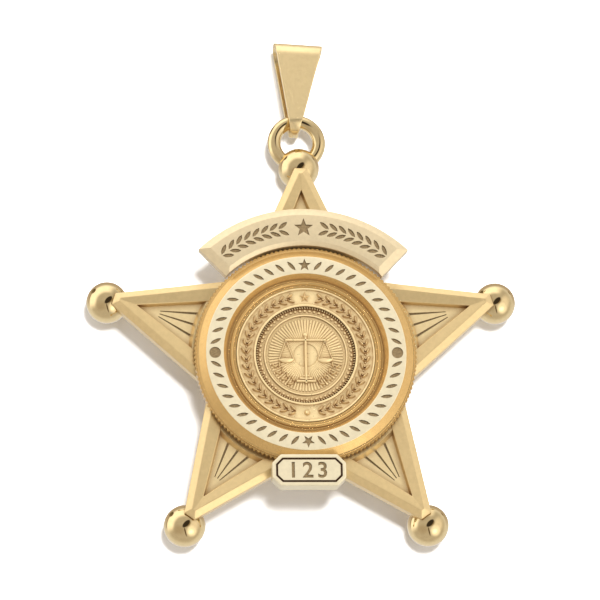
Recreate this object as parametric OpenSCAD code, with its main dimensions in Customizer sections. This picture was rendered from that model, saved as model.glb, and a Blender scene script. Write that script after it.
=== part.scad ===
// Star badge pendant: a ball-tipped star that carries a round centre disc, an arched banner
// and a number plate, with a jump ring and a folded bail. It lies on its back, face up.
// Z = 0 is the surface that it rests on, +Y points to the bail, and all sizes are in millimetres.

/* [Star] */
// Radius at which the two edges of an arm would meet
star_reach = 15.9; // [15.4:0.1:17]
// Radius of the inner corners between the arms
star_waist = 7.55; // [7:0.05:7.8]
// Radius at which each point is cut off blunt
point_cut = 14.9; // [14.4:0.1:15.2]
// Height of the flat back above the resting surface
star_back = 2.35; // [1.9:0.05:2.5]
// Height of the round pad on the back, behind the disc
pad_h = 0.1; // [0.05:0.05:0.2]
// How far that pad and the round core above it fill the inner corners between the arms
core_fill = 0.15; // [0.1:0.05:0.25]
// Thickness from the flat back to the crest of the border
star_t = 1.15; // [1.1:0.05:1.4]
// Width of the outer bevel of the border
bevel_w = 0.5; // [0.3:0.05:0.6]
// Height of the outer bevel of the border
bevel_h = 0.35; // [0.25:0.05:0.5]
// Fall of the border's top, per millimetre towards the middle of the arm
dish_slope = 0.16; // [0:0.02:0.18]

/* [Arm panel] */
// Depth of the sunk panel below the crest
panel_depth = 0.6; // [0.5:0.05:0.65]
// Radius of the panel's pointed end
panel_reach = 12.9; // [12:0.1:13.2]
// Half of the angle at the panel's pointed end
panel_angle = 21.4; // [19:0.2:22]
// Rise of the panel's side walls for each millimetre outwards
panel_wall_rise = 6; // [4:0.5:8]
// Radius of the collar round the disc at its foot, under the panel's floor
collar_foot_r = 8.8; // [8.7:0.05:8.9]
// Radius of the collar at its top
collar_top_r = 8.44; // [8.36:0.02:8.5]
// Half of the angle that the collar spans in an arm
collar_angle = 14.5; // [14:0.1:15]
// Drop from the border's crest to the collar's top
collar_drop = 0.2; // [0.18:0.01:0.26]
// Radius of the point that the rays fan out from
fan_reach = 12.2; // [11.6:0.1:12.4]
// Distance from that point to the start of the grooves
fan_start = 1; // [0.6:0.1:1.4]
// Angle between two grooves
fan_step = 14; // [12:0.5:15]
// Width of a groove
groove_w = 0.2; // [0.1:0.02:0.26]
// Depth of a groove
groove_d = 0.14; // [0.08:0.02:0.2]

/* [Balls] */
// Radius of a ball
ball_r = 1.55; // [1.45:0.01:1.7]
// Radius of the circle that the balls' centres lie on
ball_circle = 15.35; // [15.2:0.05:15.6]

/* [Centre disc] */
// Radius over the milled edge
disc_r = 8.3; // [8.1:0.05:8.6]
// Radius of the neck that sits in the star
neck_r = 8; // [7.85:0.05:8.05]
// Depth of the disc's seat below the border's crest
seat_depth = 0.75; // [0.6:0.05:0.8]
// Height of the milled edge
mill_h = 0.6; // [0.4:0.05:0.7]
// Depth of a tooth of the milled edge
mill_d = 0.12; // [0.06:0.01:0.14]
// Number of teeth on the milled edge
mill_teeth = 150; // [120:5:170]
// Radial width of the lip inside the milled edge
lip_w = 0.14; // [0.1:0.02:0.18]
// Height of the lip above the milled edge
lip_h = 0.12; // [0.06:0.02:0.2]
// Outer radius of the engraved band
band_r = 7.42; // [7.3:0.02:7.5]
// Radial width of the engraved band
band_w = 1.3; // [1.2:0.02:1.4]
// Height of the band above the lip
band_rise = 0.45; // [0.3:0.05:0.6]
// Radial width of the slope inside the band
inner_slope_w = 0.35; // [0.2:0.05:0.4]
// Depth of the well below the band
well_depth = 0.55; // [0.4:0.05:0.7]
// Radius of the raised wire ring's middle
wire_ring_r = 5.52; // [5.45:0.01:5.6]
// Radius of the wire of that ring
wire_r = 0.15; // [0.1:0.01:0.18]

/* [Seal] */
// Radius of the seal
seal_r = 5.15; // [5.05:0.05:5.2]
// Thickness of the seal, to its flat field
seal_t = 0.9; // [0.7:0.05:1.1]
// Radial width of the seal's outer rim
seal_rim_w = 0.14; // [0.1:0.02:0.2]
// Radius of the raised circle between the wreath and the picture
inner_rim_r = 3.8; // [3.7:0.02:3.9]
// Width of that circle
inner_rim_w = 0.16; // [0.1:0.02:0.2]
// Radius of the circle of beads
bead_circle = 3.42; // [3.35:0.01:3.48]
// Radius of a bead
bead_r = 0.13; // [0.09:0.01:0.14]
// Number of beads
bead_count = 60; // [48:2:68]
// Radius of the sunk ground behind the picture
picture_r = 3; // [2.9:0.05:3.1]
// Depth of that ground below the field
picture_depth = 0.16; // [0.1:0.02:0.24]
// Height of the raised figures
relief_h = 0.2; // [0.12:0.02:0.28]
// Length of a leaf of the wreath
wreath_leaf_l = 0.62; // [0.5:0.02:0.66]
// Width of a leaf of the wreath
wreath_leaf_w = 0.24; // [0.16:0.02:0.26]
// Angle between two pairs of leaves of the wreath
wreath_step = 8; // [7.6:0.2:10]
// Angle from the top of the wreath to its first pair of leaves
wreath_from = 14; // [13:0.5:18]
// Radius of the small star at the top of the wreath
wreath_star_r = 0.42; // [0.3:0.02:0.46]
// Half of the length of the scales' beam
beam_half = 1.45; // [1.2:0.05:1.5]
// Height of the beam above the seal's middle
beam_y = 1.15; // [0.9:0.05:1.3]
// Height of the pans' rims above the seal's middle
pan_y = -0.3; // [-0.5:0.05:0]
// Radius of a pan
pan_r = 0.62; // [0.5:0.02:0.7]
// Thickness of the beam and the column
scales_bar = 0.2; // [0.14:0.02:0.24]
// Thickness of the pans' chains
chain_bar = 0.1; // [0.08:0.01:0.12]
// Bottom of the foot, above the seal's middle
foot_y = -2.1; // [-2.3:0.05:-1.8]
// Width of the foot
foot_w = 1.5; // [1.2:0.05:1.6]
// Radius of the laurel sprays beside the foot
spray_r = 2.3; // [2.1:0.05:2.4]
// Angle from the bottom to a spray's first pair of leaves
spray_from = 26; // [24:1:30]
// Angle from the bottom to a spray's last pair of leaves
spray_to = 70; // [60:1:76]
// Angle between two pairs of leaves of a spray
spray_step = 14; // [13:0.5:16]

/* [Banner] */
// Outer radius of the banner
banner_r = 11.3; // [11:0.05:11.6]
// Half of the angle that the banner spans
banner_angle = 44; // [40:0.5:46]
// Thickness of the banner
banner_t = 1.15; // [0.9:0.05:1.3]
// Width of the banner's bevel
banner_bevel_w = 0.6; // [0.4:0.05:0.7]
// Height of the banner's bevel
banner_bevel_h = 0.42; // [0.2:0.02:0.6]
// Width of the narrow bevel beside the disc
banner_inner_bevel_w = 0.3; // [0.15:0.05:0.4]

/* [Number plate] */
// Width of the number plate
plate_w = 5.45; // [5:0.05:6]
// Height of the number plate, up the badge
plate_h = 2.4; // [2.2:0.05:2.6]
// Thickness of the number plate
plate_t = 1.4; // [1.3:0.05:1.6]
// How far the plate laps over the disc's edge
plate_lap = 0.5; // [0.3:0.05:0.6]
// Size of the cut corners
plate_corner = 0.64; // [0.5:0.02:0.7]
// Distance from the plate's edge to the groove round the number
frame_inset = 0.27; // [0.2:0.01:0.34]
// Width of the groove round the number
frame_w = 0.14; // [0.1:0.01:0.18]
// Height of a digit
digit_h = 1.15; // [1:0.05:1.3]
// Distance from one digit to the next
digit_pitch = 1.18; // [1:0.02:1.3]
// Width of a digit's stroke
digit_stroke = 0.24; // [0.16:0.02:0.28]

/* [Engraving] */
// Depth of all engraved work
engrave_d = 0.12; // [0.08:0.01:0.16]
// Length of a leaf on the band
band_leaf_l = 0.95; // [0.7:0.05:1.05]
// Width of a leaf on the band
band_leaf_w = 0.32; // [0.2:0.02:0.36]
// Angle between two leaves of a row on the band
band_leaf_step = 7; // [6.6:0.2:8]
// Radius of the round dots on the band
dot_r = 0.44; // [0.35:0.01:0.5]
// Radius of the two small stars on the band
band_star_r = 0.55; // [0.4:0.05:0.6]
// Length of a leaf on the banner
banner_leaf_l = 0.9; // [0.7:0.05:1]
// Width of a leaf on the banner
banner_leaf_w = 0.34; // [0.24:0.02:0.4]
// Radius of the small star on the banner
banner_star_r = 0.8; // [0.6:0.05:0.9]
// Angle from the banner's middle to its first pair of leaves
banner_leaf_from = 9; // [8:0.5:11]
// Angle from the banner's middle to its last pair of leaves
banner_leaf_to = 38; // [30:0.5:39]
// Angle between two pairs of leaves on the banner
banner_leaf_step = 4; // [3.6:0.2:5]

/* [Jump ring] */
// Radius of the ring, to the middle of its wire
ring_r = 1.7; // [1.65:0.05:1.9]
// Radius of the ring's wire
ring_wire_r = 0.5; // [0.4:0.02:0.54]
// Distance from the top ball's centre to the ring's centre
ring_rise = 2.05; // [1.8:0.05:2.1]
// Angle that the ring lies over to the left
ring_lean = 3.5; // [-4:0.5:4]

/* [Bail] */
// Length of the bail from the ring's wire to the middle of the fold
bail_span = 5; // [4.5:0.1:6]
// Width of the bail at the fold
bail_w = 3.76; // [3:0.02:4.4]
// Width of the bail at its rounded tip
bail_tip_w = 0.76; // [0.6:0.02:1]
// Outer radius of the fold
fold_r = 1.3; // [1.2:0.05:1.6]
// Thickness of the strap
strap_t = 0.42; // [0.3:0.02:0.5]
// Angle that the bail lies over to the right
bail_lean = 3.5; // [-5:0.5:5]

/* [Fits] */
// Gap between pieces that sit on or in each other
seat_gap = 0.04; // [0.02:0.01:0.06]
// Gap round the ring's wire where it passes through the ball and the bail
wire_play = 0.06; // [0.04:0.01:0.09]

/* [Hidden] */
$fn = 96;
points = 5;
point_step = 360 / points;
small_star_waist = 0.42;
leaf_slant = 55;
laurel_slant = 32;
laurel_spread = 0.32;
arc_steps = 24;
foot_steps = 3;
hook_end = -45;
curl_end = 150;
spare_angle = 3;
over = 1;
far = 20;

polished = [0.86, 0.70, 0.36];
satin = [0.86, 0.79, 0.58];
antique = [0.70, 0.50, 0.20];

// Angles and heights of the star
waist_point = [star_waist * sin(point_step / 2), star_waist * cos(point_step / 2)];
point_angle = atan2(waist_point[0], star_reach - waist_point[1]);
point_half_w = (star_reach - point_cut) * tan(point_angle);
arm_root = star_waist / 2;
arm_shoulder = waist_point + over * [sin(point_angle), -cos(point_angle)];
core_r = star_waist + core_fill;
crest_z = star_back + star_t;
panel_z = crest_z - panel_depth;
seat_z = crest_z - seat_depth;
carry_z = crest_z + seat_gap;

// Radii and heights of the disc and the seal
mill_root_r = disc_r - mill_d;
mill_top_z = carry_z + mill_h;
lip_z = mill_top_z + lip_h;
band_z = lip_z + band_rise;
band_mid_r = band_r - band_w / 2;
well_z = band_z - well_depth;
lip_outer_r = mill_root_r - mill_d / 2;
lip_inner_r = lip_outer_r - lip_w;
band_leaf_from = band_star_r * 180 / PI / band_mid_r;
band_leaf_span = 90 - band_leaf_from - dot_r * 180 / PI / band_mid_r;
band_leaf_count = floor(band_leaf_span / band_leaf_step);
band_leaf_pitch = band_leaf_span / band_leaf_count;
pocket_r = seal_r + seat_gap;
field_z = well_z - wire_r / 2;
pocket_z = field_z - seal_t;
ground_z = field_z - picture_depth;
wreath_r = (seal_r - seal_rim_w + inner_rim_r + inner_rim_w / 2) / 2;

// Heights and radii of the banner and the number plate
banner_in_r = disc_r + 2 * seat_gap;
banner_z = carry_z + banner_t;
banner_mid_r = (banner_in_r + banner_inner_bevel_w + banner_r - banner_bevel_w) / 2;
plate_y = plate_lap - disc_r - plate_h / 2;
plate_z = carry_z + plate_t;
lap_z = lip_z + band_rise * (lip_inner_r - disc_r + plate_lap) / (lip_inner_r - band_r) + seat_gap;
digit_top = (digit_h - digit_stroke) / 2;
digit_bowl = digit_h / 4;

// Where the jump ring and the bail lie
ring_way = [-sin(ring_lean), cos(ring_lean), 0];
ring_at = [0, ball_circle, ball_r] + ring_rise * ring_way;
hook_at = ring_at + ring_r * ring_way;
hook_turn = abs(ring_lean + bail_lean);
hook_half_w = bail_tip_w / 2 + ring_wire_r * (bail_w - bail_tip_w) / bail_span;
hook_sag = ring_r - sqrt(pow(ring_r, 2) - pow(hook_half_w, 2)) + hook_half_w * sin(hook_turn);
eye_r = ring_wire_r + wire_play + hook_sag;
tip_r = eye_r + strap_t;
tip_y = bail_tip_w / 2 - tip_r;
bail_flare = (bail_w - bail_tip_w) / 2 / (bail_span + fold_r - tip_y);
bail_tilt = asin((fold_r - ball_r) / bail_span);

// The whole pendant is placed so that its outline is centred on the origin
bail_end = bail_span * cos(bail_tilt) + fold_r;
top_y = hook_at[1] + bail_end * cos(bail_lean) + bail_w / 2 * sin(abs(bail_lean));
bottom_y = ball_circle * cos(point_step / 2) + ball_r;
centre_y = (bottom_y - top_y) / 2;

module placed() translate([0, centre_y, 0]) children();

// Lays a drawing in X and Z along the -Y direction, over a length
module run(length) rotate([90, 0, 0]) linear_extrude(length) children();

module mirrored() {
    children();
    mirror([1, 0, 0]) children();
}

module common_to_both_sides() intersection() {
    children();
    mirror([1, 0, 0]) children();
}

// What is cut off above a bevel of width w and height h that ends at the height top
module above_bevel(w, h, top) polygon([
    [over, top - h - over * h / w],
    [over, top + over],
    [-w - over * w / h, top + over]
]);

// What lies beyond a wall that has such a bevel
module beyond_bevel(w, h, top) polygon([
    [0, 0],
    [0, top - h],
    [-w - over * w / h, top + over],
    [2 * over, top + over],
    [2 * over, 0]
]);

module ring_flat(outer, inner) difference() {
    circle(outer);
    circle(inner);
}

// Pointed leaf on the X axis, between two arcs
module leaf(l, w) {
    r = (l * l + w * w) / (4 * w);
    intersection() {
        translate([0, r - w / 2]) circle(r);
        translate([0, w / 2 - r]) circle(r);
    }
}

// Points along an arc round a point on the X axis
function arc(x, r, from, to) = [
    for (i = [0:arc_steps]) let (a = from + i * (to - from) / arc_steps) [x + r * cos(a), r * sin(a)]
];

function zigzag(outer, inner, n) = [
    for (i = [0:2 * n - 1])
        let (r = i % 2 == 0 ? outer : inner, a = 180 * i / n) [r * sin(a), r * cos(a)]
];

module small_star(r) polygon(zigzag(r, r * small_star_waist, points));

// One arm of the star, whose sides run on into the arms beside it
module arm_outline() polygon([
    [0, -arm_root], arm_shoulder, [point_half_w, point_cut], [-point_half_w, point_cut],
    [-arm_shoulder[0], arm_shoulder[1]]
]);

module above_dish() polygon([
    [-far, crest_z - dish_slope * (far - bevel_w)],
    [over, crest_z + dish_slope * (over + bevel_w)],
    [over, crest_z + far],
    [-far, crest_z + far]
]);

module above_panel() polygon([
    [-far, panel_z],
    [0, panel_z],
    [over, panel_z + over * panel_wall_rise],
    [-far, panel_z + over * panel_wall_rise]
]);

module ray_groove() polygon([
    [-groove_w, panel_z + groove_d],
    [0, panel_z - groove_d],
    [groove_w, panel_z + groove_d]
]);

module along_edge() translate([0, star_reach, 0]) rotate(point_angle)
    translate([0, over, 0]) run(far) children();

module along_panel_side() translate([0, panel_reach, 0]) rotate(panel_angle)
    translate([0, over, 0]) run(far) children();

// An arm, cut down to its bevels and its dished border, with its sunk panel and its rays
module arm() difference() {
    translate([0, 0, star_back]) linear_extrude(star_t + bevel_h) arm_outline();
    mirrored() along_edge() above_bevel(bevel_w, bevel_h, crest_z);
    translate([over, point_cut, 0]) rotate(90) run(2 * over) above_bevel(bevel_w, bevel_h, crest_z);
    common_to_both_sides() along_edge() above_dish();
    common_to_both_sides() along_panel_side() above_panel();
    for (i = [-1:1])
        translate([0, fan_reach, 0]) rotate(i * fan_step)
            translate([0, -fan_start, 0]) run(fan_reach - fan_start) ray_groove();
}

// Sloping collar that closes an arm's panel beside the disc
module collar() intersection() {
    translate([0, 0, panel_z - collar_drop])
        cylinder(h = panel_depth, r1 = collar_foot_r, r2 = collar_top_r);
    linear_extrude(crest_z) polygon([
        [0, 0],
        far * [sin(collar_angle), cos(collar_angle)],
        far * [-sin(collar_angle), cos(collar_angle)]
    ]);
}

module wire_torus(wire) translate(ring_at) rotate_extrude() translate([ring_r, 0]) circle(wire);

module star() color(polished) placed() difference() {
    union() {
        translate([0, 0, star_back - pad_h]) cylinder(h = pad_h + star_t, r = core_r);
        for (i = [0:points - 1]) rotate(i * point_step) {
            arm();
            collar();
            translate([0, ball_circle, ball_r]) sphere(ball_r);
        }
    }
    translate([0, 0, seat_z]) cylinder(h = far, r = neck_r + seat_gap);
    wire_torus(ring_wire_r + wire_play);
}

// The disc's turned section, from the seat in the star to the seal's pocket
module disc_section() polygon([
    [0, seat_z + seat_gap],
    [neck_r, seat_z + seat_gap],
    [neck_r, carry_z],
    [lip_outer_r, carry_z],
    [lip_outer_r, lip_z],
    [lip_inner_r, lip_z],
    [band_r, band_z],
    [band_r - band_w, band_z],
    [band_r - band_w - inner_slope_w, well_z],
    [pocket_r, well_z],
    [pocket_r, pocket_z],
    [0, pocket_z]
]);

module milled_edge() translate([0, 0, carry_z]) linear_extrude(mill_h) difference() {
    polygon(zigzag(disc_r, mill_root_r, mill_teeth));
    circle(lip_inner_r);
}

// Two rows of slanting leaves that meet at a small star, parted at the sides by round dots
module band_ornament() for (half = [0, 180]) rotate(half) {
    translate([0, band_mid_r]) small_star(band_star_r);
    rotate(90) translate([0, band_mid_r]) circle(dot_r);
    mirrored() for (i = [1:band_leaf_count])
        rotate(-band_leaf_from - (i - 0.5) * band_leaf_pitch) translate([0, band_mid_r])
            rotate(leaf_slant) leaf(band_leaf_l, band_leaf_w);
}

module centre_disc() color(satin) placed() difference() {
    union() {
        rotate_extrude() disc_section();
        rotate_extrude() translate([wire_ring_r, well_z]) circle(wire_r);
        milled_edge();
    }
    translate([0, 0, band_z - engrave_d]) linear_extrude(over) band_ornament();
}

// Laurel branch of paired leaves along a circle, from one angle to another
module laurel(r, from, to, step, l, w) for (a = [from:step:to]) rotate(a) {
    for (side = [-1, 1])
        translate([0, r + side * laurel_spread * l]) rotate(180 + side * laurel_slant) leaf(l, w);
}

module stroke_line(width, from, to) {
    d = to - from;
    translate(from) rotate(atan2(d[1], d[0])) translate([-width / 2, -width / 2])
        square([norm(d) + width, width]);
}

// Scales on a stepped foot, between two short laurel branches
module scales() {
    stroke_line(scales_bar, [0, foot_y], [0, beam_y + scales_bar]);
    translate([0, beam_y + 2 * scales_bar]) circle(scales_bar);
    for (i = [0:foot_steps - 1])
        translate([0, foot_y + (i + 0.5) * scales_bar])
            square([foot_w * (1 - i / foot_steps), scales_bar], true);
    stroke_line(scales_bar, [-beam_half, beam_y], [beam_half, beam_y]);
    for (side = [-1, 1]) translate([side * beam_half, 0]) {
        for (edge = [-1, 1])
            stroke_line(chain_bar, [0, beam_y], [edge * (pan_r - chain_bar), pan_y]);
        translate([0, pan_y]) intersection() {
            leaf(2 * pan_r, pan_r);
            translate([-pan_r, -pan_r]) square([2 * pan_r, pan_r]);
        }
    }
}

module seal_section() polygon([
    [0, pocket_z + seat_gap],
    [seal_r, pocket_z + seat_gap],
    [seal_r, field_z + seal_rim_w],
    [seal_r - seal_rim_w, field_z + seal_rim_w],
    [seal_r - seal_rim_w, field_z],
    [inner_rim_r + inner_rim_w / 2, field_z],
    [inner_rim_r + inner_rim_w / 2, field_z + inner_rim_w],
    [inner_rim_r - inner_rim_w / 2, field_z + inner_rim_w],
    [inner_rim_r - inner_rim_w / 2, ground_z],
    [0, ground_z]
]);

module seal() color(antique) placed() {
    rotate_extrude() seal_section();
    translate([0, 0, field_z - seal_rim_w]) linear_extrude(seal_rim_w + relief_h) {
        mirrored() laurel(wreath_r, wreath_from, 180 - wreath_from, wreath_step,
            wreath_leaf_l, wreath_leaf_w);
        translate([0, wreath_r]) small_star(wreath_star_r);
        translate([0, -wreath_r]) circle(wreath_star_r / 2);
    }
    translate([0, 0, ground_z - seal_rim_w]) linear_extrude(seal_rim_w + relief_h) {
        scales();
        mirrored() laurel(spray_r, 180 - spray_to, 180 - spray_from, spray_step,
            wreath_leaf_l, wreath_leaf_w);
        ring_flat(picture_r + inner_rim_w, picture_r);
    }
    for (i = [0:bead_count - 1])
        rotate(i * 360 / bead_count) translate([0, bead_circle, ground_z]) sphere(bead_r);
}

// The banner's section, from beside the disc outwards
module banner_section() polygon([
    [banner_in_r, carry_z],
    [banner_r, carry_z],
    [banner_r, banner_z - banner_bevel_h],
    [banner_r - banner_bevel_w, banner_z],
    [banner_in_r + banner_inner_bevel_w, banner_z],
    [banner_in_r, banner_z - banner_bevel_h * banner_inner_bevel_w / banner_bevel_w]
]);

module banner_ornament() {
    translate([0, banner_mid_r]) small_star(banner_star_r);
    mirrored() laurel(banner_mid_r, banner_leaf_from, banner_leaf_to, banner_leaf_step,
        banner_leaf_l, banner_leaf_w);
}

module banner() color(satin) placed() difference() {
    rotate(90 - banner_angle - spare_angle)
        rotate_extrude(angle = 2 * (banner_angle + spare_angle)) banner_section();
    mirrored() rotate(-banner_angle) translate([0, banner_r + over, 0])
        run(banner_r) beyond_bevel(banner_bevel_w, banner_bevel_h, banner_z);
    translate([0, 0, banner_z - engrave_d]) linear_extrude(over) banner_ornament();
}

// Octagon with its corners cut at 45 degrees, shrunk on all sides by an inset
module plate_outline(inset = 0) {
    x = plate_w / 2 - inset;
    y = plate_h / 2 - inset;
    c = plate_corner - inset * (2 - sqrt(2));
    polygon([
        [x, y - c], [x - c, y], [c - x, y], [-x, y - c],
        [-x, c - y], [c - x, -y], [x - c, -y], [x, c - y]
    ]);
}

module stroke_arc(width, r, from, to) intersection() {
    ring_flat(r + width / 2, r - width / 2);
    polygon(concat([[0, 0]], arc(0, r + width, from, to)));
}

module digit_one() {
    stroke_line(digit_stroke, [0, -digit_top], [0, digit_top]);
    stroke_line(digit_stroke, [-digit_bowl, digit_top - digit_bowl], [0, digit_top]);
}

module digit_two() {
    bowl_y = digit_top - digit_bowl;
    translate([0, bowl_y]) stroke_arc(digit_stroke, digit_bowl, hook_end, 180);
    stroke_line(digit_stroke, digit_bowl * [cos(hook_end), sin(hook_end)] + [0, bowl_y],
        [-digit_bowl, -digit_top]);
    stroke_line(digit_stroke, [-digit_bowl, -digit_top], [digit_bowl, -digit_top]);
}

module upper_half_of_three() translate([0, digit_top / 2])
    stroke_arc(digit_stroke, digit_top / 2, -90, curl_end);

module digit_three() {
    upper_half_of_three();
    mirror([0, 1, 0]) upper_half_of_three();
}

module number() {
    translate([-digit_pitch, 0]) digit_one();
    digit_two();
    translate([digit_pitch, 0]) digit_three();
}

module number_plate() color(satin) placed() difference() {
    translate([0, plate_y, carry_z]) linear_extrude(plate_t) plate_outline();
    translate([0, 0, carry_z - over]) cylinder(h = lap_z - carry_z + over, r = disc_r + seat_gap);
    translate([0, plate_y, plate_z - engrave_d]) linear_extrude(over) {
        number();
        difference() {
            plate_outline(frame_inset);
            plate_outline(frame_inset + frame_w);
        }
    }
}

module jump_ring() color(polished) placed() wire_torus(ring_wire_r);

// Outline of a strap drawn tight round two circles on one line
module long_eye(r0, r1, d) {
    a = 90 + asin((r1 - r0) / d);
    polygon(concat(arc(0, r0, a, 360 - a), arc(d, r1, -a, a)));
}

module bail_plan() {
    translate([0, tip_y]) circle(bail_tip_w / 2);
    polygon([
        [-bail_tip_w / 2, tip_y],
        [bail_tip_w / 2, tip_y],
        [bail_w / 2 + over * bail_flare, bail_span + fold_r + over],
        [-bail_w / 2 - over * bail_flare, bail_span + fold_r + over]
    ]);
}

module bail() color(polished) placed()
    translate(hook_at) rotate(-bail_lean) rotate([bail_tilt, 0, 0]) intersection() {
        rotate([90, 0, 90]) translate([0, 0, -bail_w]) linear_extrude(2 * bail_w) difference() {
            long_eye(tip_r, fold_r, bail_span);
            long_eye(eye_r, fold_r - strap_t, bail_span);
        }
        translate([0, 0, -2 * fold_r]) linear_extrude(4 * fold_r) bail_plan();
    }

star();
centre_disc();
seal();
banner();
number_plate();
jump_ring();
bail();
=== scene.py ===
"""Star badge pendant in gold: the finished pieces, their metals and a small photo stage."""

from math import asin, atan2, cos, hypot, pi, radians, sin, sqrt, tan

import bmesh
import bpy
from mathutils import Matrix, Vector


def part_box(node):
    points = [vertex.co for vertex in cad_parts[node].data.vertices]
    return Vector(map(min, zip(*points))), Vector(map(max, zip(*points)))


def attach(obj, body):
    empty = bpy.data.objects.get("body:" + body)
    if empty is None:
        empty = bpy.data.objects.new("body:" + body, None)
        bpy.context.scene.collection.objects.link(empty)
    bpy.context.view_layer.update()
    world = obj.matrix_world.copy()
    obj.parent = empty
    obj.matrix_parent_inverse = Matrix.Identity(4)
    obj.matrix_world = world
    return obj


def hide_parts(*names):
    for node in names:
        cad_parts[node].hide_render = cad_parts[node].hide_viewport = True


bl_info = {
    "name": "Star badge pendant",
    "version": (1, 0, 0),
    "blender": (4, 5, 0),
    "location": "View3D > Sidebar > Badge",
    "description": "Builds a gold star badge pendant round its construction model",
    "category": "Object",
}

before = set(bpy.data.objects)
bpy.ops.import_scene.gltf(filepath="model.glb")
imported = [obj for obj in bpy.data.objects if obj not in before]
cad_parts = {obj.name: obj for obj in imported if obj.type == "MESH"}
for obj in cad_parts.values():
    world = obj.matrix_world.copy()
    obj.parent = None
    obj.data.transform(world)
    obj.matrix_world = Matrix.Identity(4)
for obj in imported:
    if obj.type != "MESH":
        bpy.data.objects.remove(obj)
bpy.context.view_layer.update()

# Pieces are shaped at one unit to the millimetre, round the star's axis, and then brought to metres
MM = 0.001
ARMS = 5
ARM_ANGLE = 2 * pi / ARMS

# Slots of the star's metals, and of the metals of the engraved pieces
BORDER, BALLS, GROOVES, PANELS = range(4)
PLAIN, ENGRAVED, MARKED = range(3)

# Lengths of the shaping tools, in millimetres: the height of a cutting drum, how far the pad,
# the seal's plain ring and its rays reach into what they stand on, the gap between the disc's
# lip and the plate, and the least half of the bail's width
TOOL_LENGTH = 4
PAD_ROOT = 0.1
RING_ROOT = 0.02
RAY_ROOT = 0.01
LAP_PLAY = 0.18
STRAP_LEAST = 0.06

# Distances in millimetres within which things count as being in one place
SAME_CORNER = 0.05
SAME_ROW = 0.001
SAME_LEVEL = 0.02
SAME_MIDDLE = 0.1

# Shares of the small ornaments: the corners beside a leaf's tips are picked between two shares
# of its length and drawn in, a small star's inner corners are drawn in to one, and laurel
# leaves stand beside their stem by another, at a slant
LEAF_TIPS = (0.35, 0.49)
LEAF_TIP_WIDTH = 0.6
SMALL_STAR_WAIST = 0.42
LAUREL_SPREAD = 0.32
LAUREL_SLANT = radians(32)

# This typeface's pitch and height of digits for each unit of text size, and how much bolder
# the digits are for each unit of their height
DIGIT_ADVANCE = 0.78
DIGIT_SHARE = 0.70
DIGIT_BOLD = 0.03

# Faces that meet at less than this angle are shaded as one
SMOOTH_ANGLE = radians(34)


def top_of(node):
    """Height of a construction piece's highest point, in millimetres."""
    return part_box(node)[1].z / MM


def foot_of(node):
    """Height of a construction piece's lowest point, in millimetres."""
    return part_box(node)[0].z / MM


def half_width_of(node):
    """Half of a construction piece's width, in millimetres."""
    low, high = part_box(node)
    return (high.x - low.x) / 2 / MM


STAR_CENTRE = (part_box("centre_disc")[0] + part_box("centre_disc")[1]) / 2


# Properties


def size(name, description, default):
    """A length that a user can change, in metres."""
    return bpy.props.FloatProperty(
        name=name, description=description, default=default, min=0.0, precision=5, unit="LENGTH"
    )


def turn(name, description, default):
    """An angle that a user can change, given in degrees."""
    return bpy.props.FloatProperty(
        name=name, description=description, default=radians(default), subtype="ANGLE"
    )


def count(name, description, default):
    """A number of copies that a user can change."""
    return bpy.props.IntProperty(name=name, description=description, default=default, min=1)


def colour(name, description, default):
    """A colour that a user can change."""
    return bpy.props.FloatVectorProperty(
        name=name, description=description, default=default, size=3, min=0.0, max=1.0,
        subtype="COLOR",
    )


class StarSizes(bpy.types.PropertyGroup):
    reach: size("Reach", "Radius at which the edges of an arm would meet", 0.0159)
    waist: size("Waist", "Radius of the inner corners between the arms", 0.00755)
    point_cut: size("Point cut", "Radius at which a point is cut off blunt", 0.0149)
    back: size("Back", "Height of the flat back above the floor", 0.00235)
    pad_r: size("Pad radius", "Radius of the round pad on the back", 0.0077)
    pad_h: size("Pad height", "Height of that pad", 0.0001)
    bevel_w: size("Bevel width", "Width of the outer bevel", 0.0005)
    bevel_h: size("Bevel height", "Height of the outer bevel", 0.00035)
    dish: bpy.props.FloatProperty(
        name="Dish", description="Fall of the border for each unit towards the arm's middle",
        default=0.16,
    )
    panel_depth: size("Panel depth", "Depth of the sunk panel below the crest", 0.0006)
    panel_reach: size("Panel reach", "Radius of the panel's pointed end", 0.0129)
    panel_angle: turn("Panel angle", "Half of the angle at the panel's point", 21.4)
    panel_rise: bpy.props.FloatProperty(
        name="Panel wall rise", description="Rise of the panel's wall for each unit outwards",
        default=6.0,
    )
    collar_foot_r: size("Collar foot", "Radius of the collar round the disc at its foot", 0.0088)
    collar_top_r: size("Collar top", "Radius of the collar at its top", 0.00844)
    collar_angle: turn("Collar angle", "Half of the angle that the collar spans in an arm", 14.5)
    collar_drop: size("Collar drop", "Drop from the border's crest to the collar's top", 0.0002)
    fan_reach: size("Fan reach", "Radius of the point that the rays fan out from", 0.0122)
    fan_start: size("Fan start", "Distance from that point to the grooves", 0.0009)
    fan_step: turn("Fan step", "Angle between two grooves", 14)
    groove_w: size("Groove width", "Width of a groove at the disc's edge", 0.00024)
    groove_d: size("Groove depth", "Depth of a groove at the disc's edge", 0.00018)
    ball_r: size("Ball radius", "Radius of a ball", 0.00155)
    ball_circle: size("Ball circle", "Radius of the circle of the balls' centres", 0.01535)
    seat_r: size("Seat radius", "Radius of the seat of the centre disc", 0.00804)
    seat_depth: size("Seat depth", "Depth of that seat below the crest", 0.00075)
    soft_edge: size("Soft edge", "Width of the polished-over edges", 0.00005)


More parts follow.
